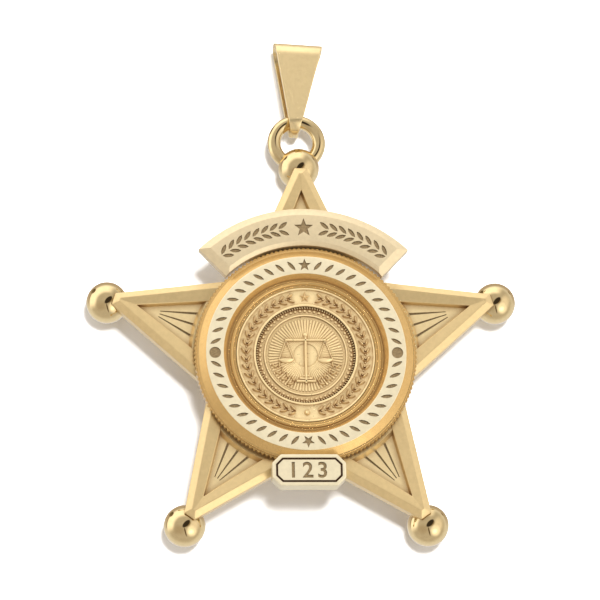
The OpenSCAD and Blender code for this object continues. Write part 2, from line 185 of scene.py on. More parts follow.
class DiscSizes(bpy.types.PropertyGroup):
    neck_r: size("Neck radius", "Radius of the neck that sits in the star", 0.008)
    mill_h: size("Milled height", "Height of the milled edge", 0.0006)
    mill_d: size("Tooth depth", "Depth of a tooth of the milled edge", 0.00012)
    teeth: count("Teeth", "Number of teeth on the milled edge", 150)
    lip_w: size("Lip width", "Radial width of the lip inside the milled edge", 0.00014)
    lip_h: size("Lip height", "Height of the lip above the milled edge", 0.00012)
    band_r: size("Band radius", "Outer radius of the engraved band", 0.00742)
    band_w: size("Band width", "Radial width of the engraved band", 0.0013)
    slope_w: size("Inner slope", "Radial width of the slope inside the band", 0.00035)
    well_depth: size("Well depth", "Depth of the well below the band", 0.00055)
    wire_ring_r: size("Wire ring", "Radius of the raised wire ring's middle", 0.00552)
    wire_r: size("Wire radius", "Radius of the wire of that ring", 0.00015)
    pocket_r: size("Pocket radius", "Radius of the seal's pocket", 0.00519)
    seat_gap: size("Seat gap", "Gap between pieces that sit in each other", 0.00004)
    soft_edge: size("Soft edge", "Width of the polished-over edges", 0.00005)
    engrave_d: size("Engraving depth", "Depth of the engraved work", 0.00012)
    leaf_l: size("Leaf length", "Length of a leaf of the band", 0.00095)
    leaf_w: size("Leaf width", "Width of a leaf of the band", 0.00032)
    leaf_step: turn("Leaf step", "Angle between two leaves of the band", 7)
    leaf_slant: turn("Leaf slant", "Slant of the leaves of the band", 55)
    dot_r: size("Dot radius", "Radius of the two round dots", 0.00044)
    star_r: size("Star radius", "Radius of the two small stars", 0.00055)


class SealSizes(bpy.types.PropertyGroup):
    rim_w: size("Rim width", "Width and height of the outer rim", 0.00014)
    inner_rim_r: size("Inner circle", "Radius of the raised circle inside the wreath", 0.0038)
    inner_rim_w: size("Inner circle width", "Width of that circle", 0.00016)
    field_t: size("Field thickness", "Thickness from the back to the flat field", 0.00086)
    ground_d: size("Ground depth", "Depth of the picture's ground below the field", 0.00016)
    relief_h: size("Relief", "Height of the raised figures", 0.0002)
    leaf_l: size("Leaf length", "Length of a laurel leaf", 0.00062)
    leaf_w: size("Leaf width", "Width of a laurel leaf", 0.00024)
    leaf_step: turn("Leaf step", "Angle between two pairs of laurel leaves", 8)
    leaf_from: turn("Leaf start", "Angle from the top to the first pair of leaves", 14)
    star_r: size("Star radius", "Radius of the star at the top of the wreath", 0.00042)
    bead_circle: size("Bead circle", "Radius of the circle of beads", 0.00342)
    bead_r: size("Bead radius", "Radius of a bead", 0.00013)
    beads: count("Beads", "Number of beads", 60)
    reeds: count("Reeds", "Number of reeds of the narrow border outside the beads", 120)
    picture_r: size("Picture radius", "Radius of the picture's ground", 0.003)
    rays: count("Rays", "Number of rays behind the scales", 72)
    bar_w: size("Bar", "Thickness of the beam and the column", 0.0002)
    beam_half: size("Beam", "Half of the beam's length", 0.00145)
    beam_y: size("Beam height", "Height of the beam above the seal's middle", 0.00115)
    pan_y: bpy.props.FloatProperty(
        name="Pan height", description="Height of the pans above the seal's middle",
        default=-0.0003, unit="LENGTH",
    )
    pan_r: size("Pan radius", "Radius of a pan", 0.00062)
    chain_w: size("Chain", "Thickness of the pans' chains", 0.0001)
    foot_y: bpy.props.FloatProperty(
        name="Foot", description="Bottom of the foot above the seal's middle",
        default=-0.0021, unit="LENGTH",
    )
    foot_w: size("Foot width", "Width of the lowest step of the foot", 0.0015)
    spray_r: size("Spray radius", "Radius of the laurel sprays beside the foot", 0.0023)
    spray_from: turn("Spray start", "Angle from the bottom to the first pair of leaves", 26)
    spray_to: turn("Spray end", "Angle from the bottom to the last pair of leaves", 70)
    spray_step: turn("Spray step", "Angle between two pairs of leaves", 14)


class BannerSizes(bpy.types.PropertyGroup):
    inner_r: size("Inner radius", "Radius of the edge beside the disc", 0.00838)
    outer_r: size("Outer radius", "Outer radius of the banner", 0.0113)
    half_angle: turn("Half angle", "Half of the angle that the banner spans", 44)
    bevel_w: size("Bevel width", "Width of the bevel", 0.0006)
    bevel_h: size("Bevel height", "Height of the bevel", 0.00042)
    inner_bevel_w: size("Inner bevel", "Width of the narrow bevel beside the disc", 0.0003)
    soft_edge: size("Soft edge", "Width of the polished-over edges", 0.00007)
    engrave_d: size("Engraving depth", "Depth of the engraved work", 0.00012)
    star_r: size("Star radius", "Radius of the small star", 0.0008)
    leaf_l: size("Leaf length", "Length of a leaf", 0.0009)
    leaf_w: size("Leaf width", "Width of a leaf", 0.00034)
    leaf_from: turn("Leaf start", "Angle from the middle to the first pair of leaves", 9)
    leaf_to: turn("Leaf end", "Angle from the middle to the last pair of leaves", 38)
    leaf_step: turn("Leaf step", "Angle between two pairs of leaves", 4)


class PlateSizes(bpy.types.PropertyGroup):
    corner: size("Corner", "Size of the cut corners", 0.00064)
    frame_inset: size("Groove inset", "Distance from the edge to the groove", 0.00027)
    frame_w: size("Groove width", "Width of the groove round the number", 0.00016)
    engrave_d: size("Engraving depth", "Depth of the engraved work", 0.00012)
    digit_h: size("Digit height", "Height of a digit", 0.00115)
    digit_pitch: size("Digit pitch", "Distance from one digit to the next", 0.00118)
    soft_edge: size("Soft edge", "Width of the polished-over edges", 0.0001)


class HangerSizes(bpy.types.PropertyGroup):
    ring_r: size("Ring radius", "Radius of the ring, to the middle of its wire", 0.0017)
    wire_r: size("Wire radius", "Radius of the ring's wire", 0.0005)
    ring_rise: size("Ring rise", "From the top ball's centre to the ring's centre", 0.00205)
    ring_lean: turn("Ring lean", "Angle that the ring lies over to the left", 3.5)
    wire_play: size("Wire play", "Gap round the wire where it passes through the ball", 0.00006)
    bail_span: size("Bail length", "From the ring's wire to the middle of the fold", 0.005)
    bail_w: size("Bail width", "Width of the bail at the fold", 0.00376)
    tip_w: size("Tip width", "Width of the bail at its rounded tip", 0.00076)
    fold_r: size("Fold radius", "Outer radius of the fold", 0.0013)
    tip_r: size("Tip loop", "Outer radius of the loop round the ring's wire", 0.0012)
    strap_t: size("Strap", "Thickness of the strap", 0.00042)
    lean: turn("Lean", "Angle that the bail lies over to the right", 3.5)


class Finishes(bpy.types.PropertyGroup):
    polished: colour("Polished gold", "Colour of the balls, ring and bail", (0.82, 0.65, 0.35))
    brushed: colour("Brushed gold", "Colour of the star's border", (0.66, 0.50, 0.25))
    panel: colour("Panel gold", "Colour of the star's sunk panels", (0.72, 0.57, 0.31))
    satin: colour("Satin gold", "Colour of the banner", (0.66, 0.545, 0.345))
    pale: colour("Pale gold", "Colour of the engraved band and the plate", (0.64, 0.565, 0.39))
    warm: colour("Warm gold", "Colour of the disc's slopes and milled edge", (0.58, 0.375, 0.14))
    seal: colour("Seal gold", "Colour of the seal's raised work", (0.74, 0.58, 0.31))
    # Brown of corners and recesses: partly tarnish, partly painted shade where shade falls
    tarnish: colour("Tarnish", "Brown that gathers in corners and recesses", (0.22, 0.09, 0.018))
    engraving: colour("Engraving", "Brown of the engraved work", (0.17, 0.12, 0.06))
    outline: colour("Outline", "Nearly black brown of the plate's groove", (0.03, 0.012, 0.004))


class StageSetup(bpy.types.PropertyGroup):
    azimuth: turn("Camera azimuth", "Camera's angle to the left of the badge's axis", 4.9)
    elevation: turn("Camera elevation", "Camera's angle towards the foot of the badge", 15.7)
    roll: turn("Camera roll", "Turn of the camera about its own axis", -1.3)
    distance: size("Camera distance", "From the camera to the badge's middle", 0.2996)
    target_z: size("Target height", "Height of the point that the camera turns about", 0.0023)
    scale: bpy.props.FloatProperty(
        name="Scale", description="Pixels for each millimetre at the target", default=13.413
    )
    target_x: bpy.props.FloatProperty(
        name="Target across", description="Target's pixel from the left", default=303.8
    )
    target_y: bpy.props.FloatProperty(
        name="Target down", description="Target's pixel from the top", default=361.4
    )
    lamp_power: bpy.props.FloatProperty(
        name="Lamp power", description="Power of the lamp over the badge", default=5.5, unit="POWER"
    )


class BadgeSettings(bpy.types.PropertyGroup):
    star: bpy.props.PointerProperty(type=StarSizes)
    disc: bpy.props.PointerProperty(type=DiscSizes)
    seal: bpy.props.PointerProperty(type=SealSizes)
    banner: bpy.props.PointerProperty(type=BannerSizes)
    plate: bpy.props.PointerProperty(type=PlateSizes)
    hanger: bpy.props.PointerProperty(type=HangerSizes)
    finishes: bpy.props.PointerProperty(type=Finishes)
    stage: bpy.props.PointerProperty(type=StageSetup)


def settings():
    """The badge's settings of this scene."""
    return bpy.context.scene.badge


class Millimetres:
    """Reads the lengths of a group of sizes in millimetres, and its other values as they are."""

    def __init__(self, group):
        self.group = group

    def __getattr__(self, name):
        value = getattr(self.group, name)
        kind = self.group.bl_rna.properties[name]
        return value / MM if kind.unit == "LENGTH" else value


# Modelling by hand, in code


def deselect():
    """Leave edit mode and select nothing."""
    if bpy.context.mode != "OBJECT":
        bpy.ops.object.mode_set(mode="OBJECT")
    bpy.ops.object.select_all(action="DESELECT")


def activate(piece):
    """Select one object alone and make it active."""
    deselect()
    piece.select_set(True)
    bpy.context.view_layer.objects.active = piece


def start(name):
    """Name the primitive that was just added, put its place in its mesh and edit it."""
    piece = bpy.context.object
    piece.name = piece.data.name = name
    bpy.ops.object.transform_apply(location=True, rotation=True, scale=True)
    bpy.ops.object.mode_set(mode="EDIT")
    bpy.ops.mesh.select_all(action="SELECT")
    return piece


def faces_up(face):
    """Whether a face lies level and looks out of the badge."""
    return face.normal.z > 0.99


def middle(item):
    """The middle of a vertex, an edge or a face."""
    corners = getattr(item, "verts", None)
    if corners is None:
        return item.co
    return sum((v.co for v in corners), Vector()) / len(corners)


def pick(test, kind="VERT"):
    """Select, in edit mode, the vertices, edges or faces that pass a test."""
    bpy.ops.mesh.select_mode(type=kind)
    bpy.ops.mesh.select_all(action="DESELECT")
    mesh = bmesh.from_edit_mesh(bpy.context.edit_object.data)
    items = {"VERT": mesh.verts, "EDGE": mesh.edges, "FACE": mesh.faces}[kind]
    for item in items:
        if test(item):
            item.select_set(True)
    mesh.select_flush_mode()
    bmesh.update_edit_mesh(bpy.context.edit_object.data)


def widen(across, along=None, up=1.0):
    """Scale what is selected about the middle, along as much as across unless told otherwise."""
    along = across if along is None else along
    bpy.ops.transform.resize(value=(across, along, up), center_override=(0, 0, 0))


def raise_by(height, across=1.0, along=None):
    """Extrude what is selected upwards, and make its new end wider or narrower."""
    bpy.ops.mesh.extrude_region_move(TRANSFORM_OT_translate={"value": (0, 0, height)})
    widen(across, along)


def cut_off(point, normal, fill=True):
    """Cut away, in edit mode, all that lies beyond a plane."""
    bpy.ops.mesh.select_all(action="SELECT")
    bpy.ops.mesh.bisect(plane_co=point, plane_no=normal, clear_outer=True, use_fill=fill)


def tidy_normals(piece, merge=1e-5):
    """Merge doubles and turn every face outwards."""
    activate(piece)
    bpy.ops.object.mode_set(mode="EDIT")
    bpy.ops.mesh.select_all(action="SELECT")
    bpy.ops.mesh.remove_doubles(threshold=merge)
    bpy.ops.mesh.normals_make_consistent(inside=False)
    bpy.ops.object.mode_set(mode="OBJECT")


def apply_modifier(piece, kind, **values):
    """Add a modifier, set it and apply it."""
    activate(piece)
    bpy.ops.object.modifier_add(type=kind)
    modifier = piece.modifiers[-1]
    for name, value in values.items():
        setattr(modifier, name, value)
    bpy.ops.object.modifier_apply(modifier=modifier.name)


def ball_blank(name, radius, segments, rings):
    """Ball round the middle."""
    bpy.ops.mesh.primitive_uv_sphere_add(segments=segments, ring_count=rings, radius=radius)
    ball = start(name)
    tidy_normals(ball)
    return ball


def drum_blank(name, radius, foot, top, sides):
    """Upright drum round the middle."""
    bpy.ops.mesh.primitive_cylinder_add(
        vertices=sides, radius=radius, depth=top - foot, location=(0, 0, (foot + top) / 2)
    )
    drum = start(name)
    tidy_normals(drum)
    return drum


def soften(piece, width, limit):
    """Polish the edges over that are sharper than a limit in degrees."""
    apply_modifier(
        piece, "BEVEL", width=width, segments=3, limit_method="ANGLE",
        angle_limit=radians(limit), harden_normals=False, use_clamp_overlap=True,
    )


def combine(piece, tool, operation):
    """Join a tool's shape to a piece, or cut it away, and remove the tool."""
    apply_modifier(
        piece, "BOOLEAN", operation=operation, object=tool, solver="EXACT", material_mode="INDEX"
    )
    if not piece.data.polygons:
        raise RuntimeError(f"{tool.name} took all of {piece.name} away")
    bpy.data.objects.remove(tool)


def joined(parts, name):
    """One object from several."""
    deselect()
    for part in parts:
        part.select_set(True)
    bpy.context.view_layer.objects.active = parts[0]
    if len(parts) > 1:
        bpy.ops.object.join()
    parts[0].name = parts[0].data.name = name
    return parts[0]


def copies(blank, places, name):
    """Copies of a blank, each turned and moved to its place, joined into one object."""
    made = []
    for place in places:
        copy = blank.copy()
        copy.data = blank.data.copy()
        bpy.context.scene.collection.objects.link(copy)
        copy.matrix_world = place
        made.append(copy)
    bpy.data.objects.remove(blank)
    whole = joined(made, name)
    bpy.ops.object.transform_apply(location=True, rotation=True, scale=True)
    return whole


def at(x, y, z=0.0, angle=0.0):
    """A place in the plane of the face, turned about the axis that points out of it."""
    return Matrix.Translation((x, y, z)) @ Matrix.Rotation(angle, 4, "Z")


def round_to(radius, angle, z=0.0, slant=0.0):
    """A place on a circle, counted from the top and to the left, with its own slant."""
    return Matrix.Rotation(angle, 4, "Z") @ at(0, radius, z, slant)


def two_sided(places):
    """Places, and the same places in a mirror."""
    mirror = Matrix.Diagonal((-1, 1, 1, 1))
    return list(places) + [mirror @ place @ mirror for place in places]


def filled_from(tool, slot):
    """Give all of a cutting tool's faces one of the piece's material slots."""
    for face in tool.data.polygons:
        face.material_index = slot
    return tool


def turned(name, section, steps):
    """Round body on a flat foot, raised ring by ring through its section of radii and heights."""
    radius, height = section[0]
    deselect()
    bpy.ops.mesh.primitive_circle_add(
        vertices=steps, radius=radius, fill_type="NGON", location=(0, 0, height)
    )
    piece = start(name)
    for next_radius, next_height in section[1:]:
        raise_by(next_height - height, next_radius / radius)
        radius, height = next_radius, next_height
    tidy_normals(piece)
    return piece


def softened(section, radius):
    """A section whose corners are turned into short arcs."""
    steps = 3
    soft = [section[0]]
    for before, corner, after in zip(section, section[1:], section[2:]):
        ends = []
        for other in (before, after):
            reach = hypot(other[0] - corner[0], other[1] - corner[1])
            share = min(radius / reach, 0.45)
            ends.append([c + (o - c) * share for c, o in zip(corner, other)])
        for i in range(steps + 1):
            t = i / steps
            weights = ((1 - t) ** 2, 2 * t * (1 - t), t * t)
            corners = (ends[0], corner, ends[1])
            soft.append(tuple(sum(w * p[k] for w, p in zip(weights, corners)) for k in (0, 1)))
    return soft + [section[-1]]


def lay_metals(piece, metals):
    """Give a piece its metals by name, in the order of its slots."""
    piece.data.materials.clear()
    for metal in metals:
        piece.data.materials.append(bpy.data.materials[metal])


def finish_piece(piece, node, metals):
    """Bring a piece to metres at the star's place, shade it and hand it over for its node."""
    tidy_normals(piece)
    piece.data.transform(
        Matrix.Translation((STAR_CENTRE.x, STAR_CENTRE.y, 0)) @ Matrix.Scale(MM, 4)
    )
    lay_metals(piece, metals)
    activate(piece)
    bpy.ops.object.shade_smooth_by_angle(angle=SMOOTH_ANGLE)
    apply_modifier(piece, "WEIGHTED_NORMAL", keep_sharp=True, weight=80)
    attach(piece, "root")
    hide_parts(node)


def leaf_blank(length, width, height, taper, ridge):
    """Pointed leaf along X, raised or sunk to a narrower top or floor."""
    bpy.ops.mesh.primitive_circle_add(vertices=12, radius=0.5, fill_type="NGON")
    leaf = start("leaf")
    widen(length, width)
    pick(lambda v: LEAF_TIPS[0] * length < abs(v.co.x) < LEAF_TIPS[1] * length)
    widen(1, LEAF_TIP_WIDTH)
    bpy.ops.mesh.select_all(action="SELECT")
    raise_by(height, taper, ridge)
    tidy_normals(leaf)
    return leaf


def star_blank(radius, height, taper):
    """Small five-pointed star, raised or sunk to a narrower top or floor."""
    bpy.ops.mesh.primitive_circle_add(vertices=2 * ARMS, radius=radius, fill_type="NGON")
    star = start("small_star")
    pick(lambda v: is_waist(v.co))
    widen(SMALL_STAR_WAIST)
    bpy.ops.mesh.select_all(action="SELECT")
    raise_by(height, taper)
    tidy_normals(star)
    return star


def is_waist(co):
    """Whether a point lies in the direction of an inner corner of a star that points up."""
    return round(atan2(co.x, co.y) / (ARM_ANGLE / 2)) % 2 == 1


def round_blank(radius, height, taper, sides):
    """Round stud or, with a negative height, a round sink."""
    bpy.ops.mesh.primitive_circle_add(vertices=sides, radius=radius, fill_type="NGON")
    stud = start("stud")
    raise_by(height, taper)
    tidy_normals(stud)
    return stud


def bar_blank(length, width, height):
    """Bar along X on the ground, with its long top edges taken off."""
    bpy.ops.mesh.primitive_plane_add(size=1)
    bar = start("bar")
    widen(length, width)
    raise_by(height * 0.6)
    raise_by(height * 0.4, 1 - 0.4 * width / length, 0.45)
    tidy_normals(bar)
    return bar


def bar_between(width, height, first, last, z):
    """Bar from one point to another."""
    across, up = last[0] - first[0], last[1] - first[1]
    bar = bar_blank(hypot(across, up) + width, width, height)
    place = at((first[0] + last[0]) / 2, (first[1] + last[1]) / 2, z, atan2(up, across))
    return copies(bar, [place], "bar")


def laurel(radius, first, last, step, length, z):
    """Places of paired leaves along a circle, from one angle to another."""
    places = []
    angle = first
    while angle <= last + 1e-6:
        for side in (-1, 1):
            slant = pi + side * LAUREL_SLANT
            off = side * LAUREL_SPREAD * length
            places.append(round_to(radius + off, angle, z, slant))
        angle += step
    return places


# Metals


class Recipe:
    """Builds a node material, one step at a time."""

    def __init__(self, name):
        self.material = bpy.data.materials.new(name)
        self.material.use_nodes = True
        self.tree = self.material.node_tree
        self.shader = self.tree.nodes["Principled BSDF"]

    def add(self, kind, inputs=None, **values):
        """Add a node, set its values and feed its inputs from numbers or other nodes."""
        node = self.tree.nodes.new(kind)
        for name, value in values.items():
            setattr(node, name, value)
        for name, value in (inputs or {}).items():
            self.feed(node.inputs[name], value)
        return node

    def feed(self, socket, value):
        """Feed an input from another node's output or with a plain value."""
        if isinstance(value, bpy.types.NodeSocket):
            self.tree.links.new(value, socket)
        else:
            socket.default_value = value

    def grain(self, scale, detail=3.0, stretch=(1, 1, 1)):
        """Noise on the piece's own coordinates, in marks of a given size in metres."""
        place = self.add("ShaderNodeTexCoord").outputs["Object"]
        mapped = self.add("ShaderNodeMapping", {"Vector": place, "Scale": stretch})
        inputs = {"Vector": mapped.outputs["Vector"], "Scale": 1 / scale, "Detail": detail}
        return self.add("ShaderNodeTexNoise", inputs).outputs["Fac"]

    def spread(self, value, low, high, out_low, out_high):
        """Bring a value from one range to another."""
        inputs = {
            "Value": value, "From Min": low, "From Max": high, "To Min": out_low,
            "To Max": out_high,
        }
        return self.add("ShaderNodeMapRange", inputs).outputs["Result"]

    def mixed(self, share, first, second):
        """Mix two colours."""
        inputs = {0: share, 6: first, 7: second}
        return self.add("ShaderNodeMix", inputs, data_type="RGBA").outputs[2]

    def toned(self, noise, base, darkest, lightest):
        """A colour that noise brings from a darker share of itself to a lighter one."""
        deeper = tuple(c * darkest for c in base)
        lighter = tuple(min(1.0, c * lightest) for c in base)
        return self.mixed(self.spread(noise, 0.35, 0.65, 0, 1), rgba(deeper), rgba(lighter))

    def corners(self, distance, power):
        """How open the surface is, from 0 in a tight corner to 1 on an open face; it lays painted
        shade into corners.
        """
        node = self.add(
            "ShaderNodeAmbientOcclusion", {"Distance": distance}, samples=8, only_local=True
        )
        return self.add(
            "ShaderNodeMath", {0: node.outputs["AO"], 1: power}, operation="POWER"
        ).outputs["Value"]

    def bump(self, height, strength, distance):
        """Give the surface a fine relief."""
        node = self.add(
            "ShaderNodeBump", {"Height": height, "Strength": strength, "Distance": distance}
        )
        self.feed(self.shader.inputs["Normal"], node.outputs["Normal"])


def rgba(value):
    """A colour with full alpha."""
    return (*value, 1.0)


def gold(
    name, base, roughness, reach, power, brush=None, brush_bump=0.05, uneven=0.04, metallic=1.0
):
    """Gold with fine brushing, uneven gloss and brown in its corners that is partly tarnish and
    partly painted shade.

    The brown's painted shade reaches a length in metres out of a corner, and clears faster with less
    power."""
    recipe = Recipe(name)
    shader = recipe.shader
    shader.inputs["Metallic"].default_value = metallic
    face = recipe.toned(recipe.grain(0.0003, 4), base, 0.96, 1.03)
    # Painted shade: this brown is mixed in where the surface is closed in, darkening corners and
    # recesses
    tarnish = rgba(settings().finishes.tarnish)
    corner_shade_mask = recipe.corners(reach, power)
    recipe.feed(shader.inputs["Base Color"], recipe.mixed(corner_shade_mask, tarnish, face))
    glossiest, mattest = max(0.02, roughness - uneven), roughness + uneven
    wear = recipe.spread(recipe.grain(0.00025, 5), 0.3, 0.7, glossiest, mattest)
    recipe.feed(shader.inputs["Roughness"], wear)
    if brush:
        recipe.bump(recipe.grain(0.0012, 6, brush), brush_bump, 0.00002)


def fill_metal(name, base, roughness):
    """Matt brown of engraved work, slightly grainy."""
    recipe = Recipe(name)
    shader = recipe.shader
    shader.inputs["Metallic"].default_value = 0.35
    shader.inputs["Roughness"].default_value = roughness
    speckle = recipe.grain(0.00008, 4)
    recipe.feed(shader.inputs["Base Color"], recipe.toned(speckle, base, 0.7, 1.35))
    recipe.bump(speckle, 0.25, 0.00003)


def mix_metals():
    """All the golds of the badge, from the mirror of the balls to the seal's antique finish, each
    with painted shade in its corners.
    """
    finish = settings().finishes
    # Squeezed to fine lines along the arms, or across the badge
    along, across = (1, 14, 1), (14, 1, 1)
    gold("mirror_gold", finish.polished, 0.04, 0.00022, 0.7, uneven=0.02)
    gold("bail_gold", finish.polished, 0.25, 0.00022, 0.5, uneven=0.02, metallic=0.85)
    gold("brushed_gold", finish.brushed, 0.32, 0.0005, 0.9, along, 0.04, 0.02, 0.75)
    gold("panel_gold", finish.panel, 0.40, 0.0005, 1.2, along, 0.06, metallic=0.7)
    gold("banner_gold", finish.satin, 0.40, 0.0003, 0.6, across, metallic=0.7)
    gold("pale_gold", finish.pale, 0.42, 0.00025, 0.5, across, metallic=0.6)
    gold("warm_gold", finish.warm, 0.22, 0.0005, 0.8, across, metallic=0.75)
    gold("seal_gold", finish.seal, 0.30, 0.0004, 2.0, uneven=0.03, metallic=0.6)
    fill_metal("engraving_fill", finish.engraving, 0.5)
    fill_metal("outline_fill", finish.outline, 0.45)


# Pieces


def meets_dish(size, ahead, across):
    """Radius and height, along a direction from the centre, where the panel's wall meets the dish.

    The direction has the parts ahead, along the arm, and across, beside it."""
    edge = edge_angle(size)
    wall = size.panel_angle
    dish_at_centre = top_of("star") - size.dish * (size.reach * sin(edge) - size.bevel_w)
    dish_rise = size.dish * (ahead * sin(edge) + across * cos(edge))
    wall_at_centre = panel_floor(size) - size.panel_rise * size.panel_reach * sin(wall)
    wall_rise = size.panel_rise * (ahead * sin(wall) + across * cos(wall))
    radius = (dish_at_centre - wall_at_centre) / (wall_rise - dish_rise)
    return radius, dish_at_centre + dish_rise * radius


def edge_angle(size):
    """Half of the angle between the two edges of an arm."""
    half = ARM_ANGLE / 2
    return atan2(size.waist * sin(half), size.reach - size.waist * cos(half))


def panel_floor(size):
    """Height of the floor of the star's sunk panels."""
    return top_of("star") - size.panel_depth


def lead_star_floor():
    """Pick the star's innermost face."""
    pick(lambda f: len(f.verts) >= 2 * ARMS and f.normal.z > 0.9, "FACE")


def place_ring(waists, radius, height):
    """Bring the tips, or the waists, of the innermost face to a radius and a height."""
    lead_star_floor()
    mesh = bmesh.from_edit_mesh(bpy.context.edit_object.data)
    ring = [v for v in mesh.verts if v.select and is_waist(v.co) == waists]
    now = sum(v.co.xy.length for v in ring) / len(ring)
    level = sum(v.co.z for v in ring) / len(ring)
    marks = {v.index for v in ring}
    pick(lambda v: v.index in marks)
    widen(radius / now)
    bpy.ops.transform.translate(value=(0, 0, height - level))


def star_plate(size):
    """The star's body: blunt points, outer bevel, dished border and sunk panels."""
    half = ARM_ANGLE / 2
    deselect()
    bpy.ops.mesh.primitive_circle_add(
        vertices=2 * ARMS, radius=size.reach, fill_type="NGON", location=(0, 0, size.back)
    )
    star = start("star_casting")
    pick(lambda v: is_waist(v.co))
    widen(size.waist / size.reach)
    for i in range(ARMS):
        out = Vector((sin(i * ARM_ANGLE), cos(i * ARM_ANGLE), 0))
        cut_off(out * size.point_cut, out, fill=False)
    bpy.ops.mesh.select_all(action="SELECT")
    raise_by(top_of("star") - size.bevel_h - size.back)
    bpy.ops.mesh.inset(thickness=size.bevel_w, depth=size.bevel_h)
    closing = (size.reach - size.point_cut) / (1 / sin(edge_angle(size)) - 1)
    width = closing - size.bevel_w
    bpy.ops.mesh.inset(thickness=width, depth=-size.dish * width)
    bpy.ops.mesh.remove_doubles(threshold=SAME_CORNER)
    tip_r, tip_z = meets_dish(size, 1, 0)
    waist_r, waist_z = meets_dish(size, cos(half), sin(half))
    lead_star_floor()
    raise_by(0)
    place_ring(False, tip_r, tip_z)
    place_ring(True, waist_r, waist_z)
    lead_star_floor()
    raise_by(0)
    slope = tan(size.panel_angle)
    floor_waist = size.panel_reach * slope / (sin(half) + cos(half) * slope)
    place_ring(False, size.panel_reach, panel_floor(size))
    place_ring(True, floor_waist, panel_floor(size))
    tidy_normals(star)
    soften(star, size.soft_edge, limit=12)
    return star


def ray_grooves(size):
    """Cutting tool of the grooves that fan out over each panel, from near its point to the seat."""
    length = size.fan_reach - size.fan_start - size.seat_r + size.seat_depth
    bpy.ops.mesh.primitive_cone_add(
        vertices=4, radius1=size.groove_w / 2, radius2=size.groove_w * 0.15, depth=length,
        location=(0, 0, length / 2),
    )
    groove = start("groove")
    bpy.ops.object.mode_set(mode="OBJECT")
    groove.data.transform(
        Matrix.Translation((0, -size.fan_start - length, 0))
        @ Matrix.Rotation(-pi / 2, 4, "X")
    )
    squash = Matrix.Diagonal((1, 1, size.groove_d / (size.groove_w / 2), 1))
    places = []
    for arm in range(ARMS):
        for i in (-1, 0, 1):
            places.append(
                Matrix.Rotation(arm * ARM_ANGLE, 4, "Z")
                @ at(0, size.fan_reach, panel_floor(size), i * size.fan_step) @ squash
            )
    return copies(groove, places, "grooves")


def collar_sectors(size):
    """Sloping collars that close the panels beside the disc."""
    foot = panel_floor(size) - size.collar_drop
    bpy.ops.mesh.primitive_cone_add(
        vertices=192, radius1=size.collar_foot_r, radius2=size.collar_top_r,
        depth=size.panel_depth, location=(0, 0, foot + size.panel_depth / 2),
    )
    sector = start("collar")
    for side in (-1, 1):
        cut_off((0, 0, 0), (side * cos(size.collar_angle), -sin(size.collar_angle), 0))
    # What would stand inside the star's inner corners comes off, since the disc's neck is there
    cut_off((0, size.waist * 0.9, 0), (0, -1, 0))
    tidy_normals(sector)
    return copies(sector, [Matrix.Rotation(i * ARM_ANGLE, 4, "Z") for i in range(ARMS)], "collars")


def star_balls(size):
    """The balls of the points, where the top one has the channel of the ring's wire."""
    hanger = Millimetres(settings().hanger)
    ball = ball_blank("ball", size.ball_r, 96, 48)
    places = [round_to(size.ball_circle, i * ARM_ANGLE, size.ball_r) for i in range(ARMS)]
    balls = copies(ball, places, "balls")
    bpy.ops.mesh.primitive_torus_add(
        major_segments=96, minor_segments=32, major_radius=hanger.ring_r,
        minor_radius=hanger.wire_r + hanger.wire_play, location=hanger_place(hanger.ring_rise),
    )
    channel = start("channel")
    tidy_normals(channel)
    combine(balls, channel, "DIFFERENCE")
    return balls


class BADGE_OT_star(bpy.types.Operator):
    """Cast the ball-tipped star"""

    bl_idname = "badge.star"
    bl_label = "Star"

    def execute(self, context):
        size = Millimetres(settings().star)
        star = star_plate(size)
        metals = ("brushed_gold", "mirror_gold", "engraving_fill", "panel_gold")
        lay_metals(star, metals)
        floor = panel_floor(size)
        mark_faces(
            star, PANELS, lambda f: faces_up(f) and abs(middle(f).z - floor) < SAME_LEVEL
        )
        combine(star, filled_from(ray_grooves(size), GROOVES), "DIFFERENCE")
        combine(star, filled_from(collar_sectors(size), BORDER), "UNION")
        pad = drum_blank("pad", size.pad_r, size.back - size.pad_h, size.back + PAD_ROOT, 128)
        combine(star, filled_from(pad, BORDER), "UNION")
        seat_z = top_of("star") - size.seat_depth
        seat = drum_blank("seat", size.seat_r, seat_z, seat_z + TOOL_LENGTH, 192)
        combine(star, seat, "DIFFERENCE")
        combine(star, filled_from(star_balls(size), BALLS), "UNION")
        keep_marks(star, "star", metals)
        return {"FINISHED"}


def rim_foot():
    """Height of the underside of the disc's rim, which the banner's underside shares."""
    return foot_of("banner")


def disc_section(size):
    """The disc's section, from its neck to the floor of the seal's pocket."""
    band = top_of("centre_disc")
    well = band - size.well_depth
    mill_top = rim_foot() + size.mill_h
    lip_z = mill_top + size.lip_h
    root_r = half_width_of("centre_disc") - size.mill_d
    lip_r = root_r - size.mill_d / 2
    slope_r = size.band_r - size.band_w - size.slope_w
    outside = softened([
        (size.neck_r, foot_of("centre_disc")),
        (size.neck_r, rim_foot()),
        (root_r, rim_foot()),
        (root_r, mill_top),
        (lip_r, mill_top),
        (lip_r, lip_z),
        (lip_r - size.lip_w, lip_z),
        (size.band_r, band),
        (size.band_r - size.band_w, band),
        (slope_r, well),
        (size.wire_ring_r + size.wire_r + size.soft_edge, well),
    ], size.soft_edge)
    wire = [
        (size.wire_ring_r + size.wire_r * cos(i * pi / 12), well + size.wire_r * sin(i * pi / 12))
        for i in range(13)
    ]
    pocket_z = foot_of("seal") - size.seat_gap
    inside = softened([
        wire[-1], (size.pocket_r, well), (size.pocket_r, pocket_z), (size.pocket_r / 2, pocket_z)
    ], size.soft_edge)
    return outside + wire + inside[1:]


